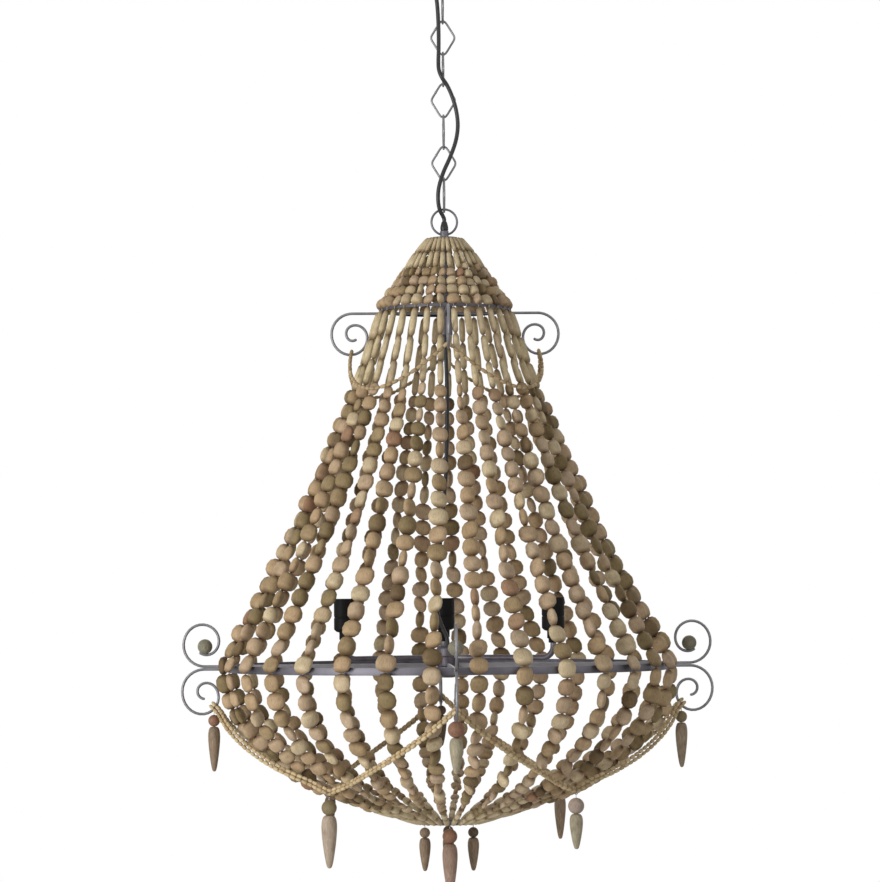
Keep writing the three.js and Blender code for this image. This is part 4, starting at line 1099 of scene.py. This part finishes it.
def swag_bead_string(name, node, point_at, shape, rng, wood, width, tone):
    """Four swags of slim pale beads on one thread. point_at gives a point of the first swag."""
    bm = bmesh.new()
    layers = bead_layers(bm)
    loop = []
    for n in range(SIDES):
        turn = Matrix.Rotation(n * QUARTER, 3, "Z")
        swag = [turn @ point_at(i / SWAG_STEPS) for i in range(SWAG_STEPS + 1)]
        loop += swag[:-1]
        sizes = bead_sizes(run_length(swag), lambda distance: (1, SLIM_SHARE), width, rng)
        for _, placed, thick, length in bead_places(swag, sizes):
            shade = clipped(rng.gauss(tone, SWAG_TONE_SPREAD), SWAG_TONE_RANGE)
            thread(bm, layers, shape, placed, (thick, thick, length), shade, rng)
    wire(bm, loop, THREAD_RADIUS, sides=5, closed=True)
    return finish_piece(bm, name, wood, "pale_wood", node=node, smooth_angle=80)


class CHANDELIER_OT_swags(bpy.types.Operator):
    """Hang the upper swag on the strands and the two lower swags under the big ring"""
    bl_idname = "chandelier.swags"
    bl_label = "Swags"

    def execute(self, context):
        sizes = context.scene.chandelier_sizes
        rng = random.Random(sizes.seed + 1)
        stains = [(at, linear(code)) for at, code in SWAG_STAINS]
        # The swag beads' ends take a lighter painted shade than the strand beads'
        wood = bead_wood("Pale unstained whitewood beads", stains, grain_mm=0.7,
                         end_shade=(0.72, 0.66, 0.57, 1))
        shape = bead_shape("swag_bead", around=8, down=5, blunt=0.6)
        _, skirt, bowl = strand_runs(0, (0, 0, 0))
        skirt_reach = strand_edge(skirt, SKIRT_BEADS, sizes.biggest_bead)
        bowl_reach = strand_edge(bowl, BOWL_BEADS, sizes.biggest_bead)
        rests = {}
        for node in ("upper_swag_string", "lower_swag_string_outer", "lower_swag_string_inner"):
            reach, low, high = spin_of(node)
            rests[node] = (reach - STRING_RADIUS, high - STRING_RADIUS, high - low - 2 * STRING_RADIUS)

        def upper_point(node, share):
            _, crest, dip = rests[node]
            sink = math.sin(share * math.pi)
            z = crest - dip * sink
            reach = max(UPPER_SCROLL_REACH + UPPER_SWAG_BULGE * sink, skirt_reach(z))
            return polar(reach, share * QUARTER, z)

        def free_point(node, share):
            reach, crest, sag = rests[node]
            point = (SIDEWAYS * reach).lerp(DEEP * reach, share)
            straight, hanging = 1 - abs(2 * share - 1), 4 * share * (1 - share)
            point.z = crest - sag * (SWAG_PULL * straight + (1 - SWAG_PULL) * hanging)
            return point

        def lower_point(node, share):
            point, inner = free_point(node, share), free_point("lower_swag_string_inner", share)
            out = Vector((point.x, point.y, 0)).normalized()
            return point + out * max(bowl_reach(inner.z) - math.hypot(inner.x, inner.y), 0)

        for name, node, point_of, tone in (
                ("pale_upper_swags", "upper_swag_string", upper_point, UPPER_TONE),
                ("pale_lower_swags_outer", "lower_swag_string_outer", lower_point, LOWER_TONE),
                ("pale_lower_swags_inner", "lower_swag_string_inner", lower_point, LOWER_TONE)):
            swag_bead_string(name, node, lambda share: point_of(node, share), shape, rng, wood,
                             sizes.swag_bead, tone)
        return {"FINISHED"}


# A carved drop's outline: share of the way down, share of its radius
DROP_OUTLINE = [(0, 0.34), (0.012, 0.62), (0.05, 0.82), (0.12, 0.95), (0.22, 1), (0.34, 0.97), (0.5, 0.87),
                (0.66, 0.73), (0.82, 0.56), (0.93, 0.4), (0.985, 0.24), (1, 0)]
DROP_STEPS = 3
NECK_LENGTH, NECK_WIRE, LOOP_WIRE = 4 * MM, 0.5 * MM, 0.45 * MM
# How far up the bead's radius the neck ends, inside the bead
NECK_FOOT_SHARE = 0.8
SCROLL_LOOP, STRING_LOOP, LOOP_STEPS = 3.3 * MM, 2.9 * MM, 20
# The four drops by the length of their node, each with the carved length and radius and the bead's radius
DROP_KINDS = [(88.9, 66, 9.8, 9.6), (77.3, 58, 7.8, 7.6), (68.1, 44, 8.4, 10.2), (60.3, 43, 7.4, 6.8)]
# The woods of the drops and their beads: name, dark and light stain, grain in millimetres
DROP_WOODS = {
    "brown": ("Brown-stained", "#6f5c49", "#96826c", 1.1),
    "dark": ("Dark brown", "#4a3b2d", "#6c5947", 1.1),
    "pale_brown": ("Pale brown", "#92806c", "#b5a695", 1.1),
    "grey_brown": ("Grey-brown", "#776856", "#a08f7b", 1.1),
    "grey_green": ("Grey-green", "#857c65", "#aba28b", 1.1),
    "pinkish": ("Pinkish brown", "#7f6555", "#a68d7d", 1.1),
    "red": ("Red-brown", "#75523f", "#977059", 0.9),
    "olive": ("Olive-brown", "#6d6147", "#92835f", 0.9),
    "lilac": ("Grey-lilac", "#8a7a6e", "#ad9c90", 0.9),
}
# The wood of each drop and of its bead
DROP_STAINS = {
    "scroll_drop_1": ("grey_brown", "olive"), "scroll_drop_2": ("dark", "dark"),
    "scroll_drop_3": ("brown", "red"), "scroll_drop_4": ("grey_green", "red"),
    "swag_drop_1": ("brown", "dark"), "swag_drop_2": ("dark", "dark"),
    "swag_drop_3": ("pale_brown", "olive"), "swag_drop_4": ("grey_green", "lilac"),
    "bottom_drop_1": ("brown", "dark"), "bottom_drop_2": ("brown", "dark"),
    "bottom_drop_3": ("brown", "brown"), "bottom_drop_4": ("pinkish", "red"),
}


class CHANDELIER_OT_drops(bpy.types.Operator):
    """Carve the twelve drops and hang each with its bead on a wire"""
    bl_idname = "chandelier.drops"
    bl_label = "Drops"

    def execute(self, context):
        rng = random.Random(context.scene.chandelier_sizes.seed + 2)
        woods = {key: carved_wood(f"{name} carved wood", dark, light, grain)
                 for key, (name, dark, light, grain) in DROP_WOODS.items()}
        wire_metal = aged_zinc("Drop wire", "#5b5854", "#77746f", grain_mm=0.4, roughness=0.45)
        for node, (drop_wood, ball_wood) in DROP_STAINS.items():
            low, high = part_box(node)
            hung = (high[2] - low[2]) / MM
            kind = min(DROP_KINDS, key=lambda sizes: abs(sizes[0] - hung))
            length, radius, bead = (size * MM for size in kind[1:])
            middle = middle_of(node)
            centre = Vector((middle.x, middle.y, 0))
            bead_z = high[2] - NECK_LENGTH - bead
            carved_top = low[2] + length
            outline = outline_run(DROP_OUTLINE, (0, carved_top), (radius, low[2]), DROP_STEPS)
            place = Matrix.Translation(centre) @ Matrix.Rotation(rng.uniform(0, TURN), 4, "Z")
            turned_piece(f"carved_{node}", [(0, carved_top), *outline], woods[drop_wood], "carved_wood",
                         place, segments=28, body=node, node=node, smooth_angle=60)
            ball_piece(f"bead_of_{node}", centre + UP * bead_z, bead, woods[ball_wood], "carved_wood",
                       around=24, down=14, body=node)
            heights = (high[2], high[2] - NECK_LENGTH / 2, bead_z + bead * NECK_FOOT_SHARE)
            neck = [centre + UP * z for z in heights]
            wire_piece(f"neck_of_{node}", neck, NECK_WIRE, wire_metal, "zinc_wire", body=node)
            # The loop goes round a scroll's rod, a swag's string or the bottom ring
            outward = centre.normalized()
            loop_radius, across = (SCROLL_LOOP, UP.cross(outward)) if node.startswith("scroll") else (
                STRING_LOOP, outward)
            loop = circle_path(centre + UP * (high[2] + loop_radius), loop_radius, across, LOOP_STEPS)
            wire_piece(f"loop_of_{node}", loop, LOOP_WIRE, wire_metal, "zinc_wire", closed=True)
        return {"FINISHED"}


# Where the photograph was taken from, and how far its picture is turned
CAMERA_DISTANCE = 4.3
CAMERA_AZIMUTH = -1.7
CAMERA_HEIGHT = -0.871
AIM_HEIGHT = -0.664
AIM_ASIDE = -0.0078
CAMERA_ROLL = 0.45
LENS, SENSOR = 135.0, 36.0
NEAREST, FARTHEST = 0.05, 60.0
PICTURE_WIDTH, PICTURE_HEIGHT = 880, 882
# Each soft light's place, size and power
LIGHTS = {
    "key_left": ((-2.7, -2.5, -0.9), 1.6, 95),
    "fill_right": ((2.8, -2.2, -0.2), 2.4, 12),
    "back_top": ((0.3, 2.6, 1.0), 2.4, 34),
}
WORLD_LIGHT = 0.42
FLOOR_HEIGHT = -2.1
FLOOR_RADIUS = 7.5
FLOOR_STEPS = 128
FLOOR_GLOW = 0.55
WHITE = (1, 1, 1, 1)


def facing(place, aim):
    """A matrix at a place that looks at another."""
    return Matrix.Translation(place) @ (aim - place).to_track_quat("-Z", "Y").to_matrix().to_4x4()


def set_camera(scene):
    azimuth = math.radians(CAMERA_AZIMUTH)
    right = Vector((math.cos(azimuth), math.sin(azimuth), 0))
    away = Vector((-math.sin(azimuth), math.cos(azimuth), 0))
    aim = right * AIM_ASIDE + UP * AIM_HEIGHT
    eye = right * AIM_ASIDE - away * CAMERA_DISTANCE + UP * CAMERA_HEIGHT
    data = bpy.data.cameras.new("photograph")
    data.lens, data.sensor_width = LENS, SENSOR
    data.clip_start, data.clip_end = NEAREST, FARTHEST
    data.dof.use_dof = False
    camera = bpy.data.objects.new("photograph", data)
    camera.matrix_world = facing(eye, aim) @ Matrix.Rotation(math.radians(-CAMERA_ROLL), 4, "Z")
    scene.collection.objects.link(camera)
    scene.camera = camera
    scene.render.resolution_x, scene.render.resolution_y = PICTURE_WIDTH, PICTURE_HEIGHT
    scene.render.resolution_percentage = 100
    scene.view_settings.view_transform = "Standard"


def soft_light(scene, name, place, size, power):
    data = bpy.data.lights.new(name, "AREA")
    data.shape, data.size, data.energy = "SQUARE", size, power
    lamp = bpy.data.objects.new(name, data)
    lamp.matrix_world = facing(Vector(place), UP * AIM_HEIGHT)
    lamp.visible_camera = False
    scene.collection.objects.link(lamp)


def white_world(scene):
    """White wherever the camera sees it, straight, mirrored or through glass, and softer where it lights."""
    world = bpy.data.worlds.new("white_studio")
    world.use_nodes = True
    tree = world.node_tree
    tree.nodes.clear()
    ray = add(tree, "LightPath")
    seen = ray.outputs["Is Camera Ray"]
    for kind in ("Is Glossy Ray", "Is Transmission Ray"):
        seen = add(tree, "Math", {"operation": "MAXIMUM"}, {0: seen, 1: ray.outputs[kind]}).outputs[0]
    strength = add(tree, "MapRange", {"To Min": WORLD_LIGHT, "To Max": 1.0}, {"Value": seen})
    glow = add(tree, "Background", {"Color": WHITE}, {"Strength": strength.outputs["Result"]})
    add(tree, "OutputWorld", links={"Surface": glow.outputs["Background"]})
    scene.world = world


def white_floor(scene):
    """A white floor far below that keeps a trace of the object's shadow, and is clear from underneath."""
    made = bpy.data.materials.new("white_studio_floor")
    made.use_nodes = True
    tree = made.node_tree
    tree.nodes.clear()
    ray = add(tree, "LightPath")
    matt = add(tree, "BsdfDiffuse", {"Color": linear("#dddddd")})
    glow = add(tree, "Emission", {"Color": WHITE, "Strength": FLOOR_GLOW})
    shown = add(tree, "AddShader", links={0: matt.outputs[0], 1: glow.outputs[0]})
    choice = add(tree, "MixShader", links={
        "Fac": ray.outputs["Is Camera Ray"], 1: matt.outputs[0], 2: shown.outputs[0],
    })
    below = add(tree, "NewGeometry").outputs["Backfacing"]
    clear = add(tree, "BsdfTransparent")
    sided = add(tree, "MixShader", links={"Fac": below, 1: choice.outputs[0], 2: clear.outputs[0]})
    add(tree, "OutputMaterial", links={"Surface": sided.outputs[0]})
    bm = bmesh.new()
    bmesh.ops.create_circle(bm, cap_ends=True, segments=FLOOR_STEPS, radius=FLOOR_RADIUS,
                            matrix=Matrix.Translation(UP * FLOOR_HEIGHT))
    mesh = mesh_of(bm, "white_studio_floor")
    mesh.materials.append(made)
    floor = bpy.data.objects.new("white_studio_floor", mesh)
    scene.collection.objects.link(floor)


class CHANDELIER_OT_stage(bpy.types.Operator):
    """Set the camera, the lights and the white surroundings of the photograph"""
    bl_idname = "chandelier.stage"
    bl_label = "Stage"

    def execute(self, context):
        scene = context.scene
        set_camera(scene)
        for name, (place, size, power) in LIGHTS.items():
            soft_light(scene, name, place, size, power)
        white_world(scene)
        white_floor(scene)
        return {"FINISHED"}


def stain(name, code):
    return FloatVectorProperty(name=name, description=f"{name} of the strand beads", subtype="COLOR", size=3,
                               min=0.0, max=1.0, default=linear(code)[:3])


class ChandelierSizes(bpy.types.PropertyGroup):
    """Sizes of the beads and how the strands hang"""
    seed: IntProperty(name="Seed", description="Seed of the bead mix", default=7)
    biggest_bead: FloatProperty(name="Biggest bead", description="Width of the biggest strand bead",
                                default=25 * MM, min=10 * MM, max=30 * MM, unit="LENGTH")
    swag_bead: FloatProperty(name="Swag bead", description="Width of a swag's slim bead",
                             default=5.0 * MM, min=2 * MM, max=7 * MM, unit="LENGTH")
    strand_sway: FloatProperty(name="Strand sway", description="How far a strand leans between its rings",
                               default=9.5 * MM, min=0.0, max=10 * MM, unit="LENGTH")


class ChandelierFinishes(bpy.types.PropertyGroup):
    """Stains of the strand beads"""
    dark_stain: stain("Dark stain", "#664f34")
    olive_stain: stain("Olive stain", "#897853")
    tan_stain: stain("Tan stain", "#b79d7a")
    pink_stain: stain("Pink stain", "#baa48a")
    pale_stain: stain("Pale stain", "#d1c19d")
    red_stain: stain("Red stain", "#98755a")


PIECES = [
    CHANDELIER_OT_stage, CHANDELIER_OT_cables, CHANDELIER_OT_ceiling_fitting, CHANDELIER_OT_chain,
    CHANDELIER_OT_stem, CHANDELIER_OT_rings, CHANDELIER_OT_scroll_arms, CHANDELIER_OT_lamps,
    CHANDELIER_OT_bead_strands, CHANDELIER_OT_swags, CHANDELIER_OT_drops,
]


class CHANDELIER_PT_panel(bpy.types.Panel):
    """Lists the sizes, the stains and a button for each piece"""
    bl_idname = "CHANDELIER_PT_panel"
    bl_label = "Beaded chandelier"
    bl_space_type = "VIEW_3D"
    bl_region_type = "UI"
    bl_category = "Chandelier"

    def draw(self, context):
        for group in (context.scene.chandelier_sizes, context.scene.chandelier_finishes):
            box = self.layout.box()
            for name in group.bl_rna.properties.keys():
                if name not in {"rna_type", "name"}:
                    box.prop(group, name)
        for piece in PIECES:
            self.layout.operator(piece.bl_idname)


CLASSES = [ChandelierSizes, ChandelierFinishes, *PIECES, CHANDELIER_PT_panel]


def register():
    for cls in CLASSES:
        bpy.utils.register_class(cls)
    bpy.types.Scene.chandelier_sizes = PointerProperty(type=ChandelierSizes)
    bpy.types.Scene.chandelier_finishes = PointerProperty(type=ChandelierFinishes)


def unregister():
    del bpy.types.Scene.chandelier_finishes
    del bpy.types.Scene.chandelier_sizes
    for cls in reversed(CLASSES):
        bpy.utils.unregister_class(cls)


def main():
    register()
    for piece in PIECES:
        area, name = piece.bl_idname.split(".")
        getattr(getattr(bpy.ops, area), name)()


if __name__ == "__main__":
    main()
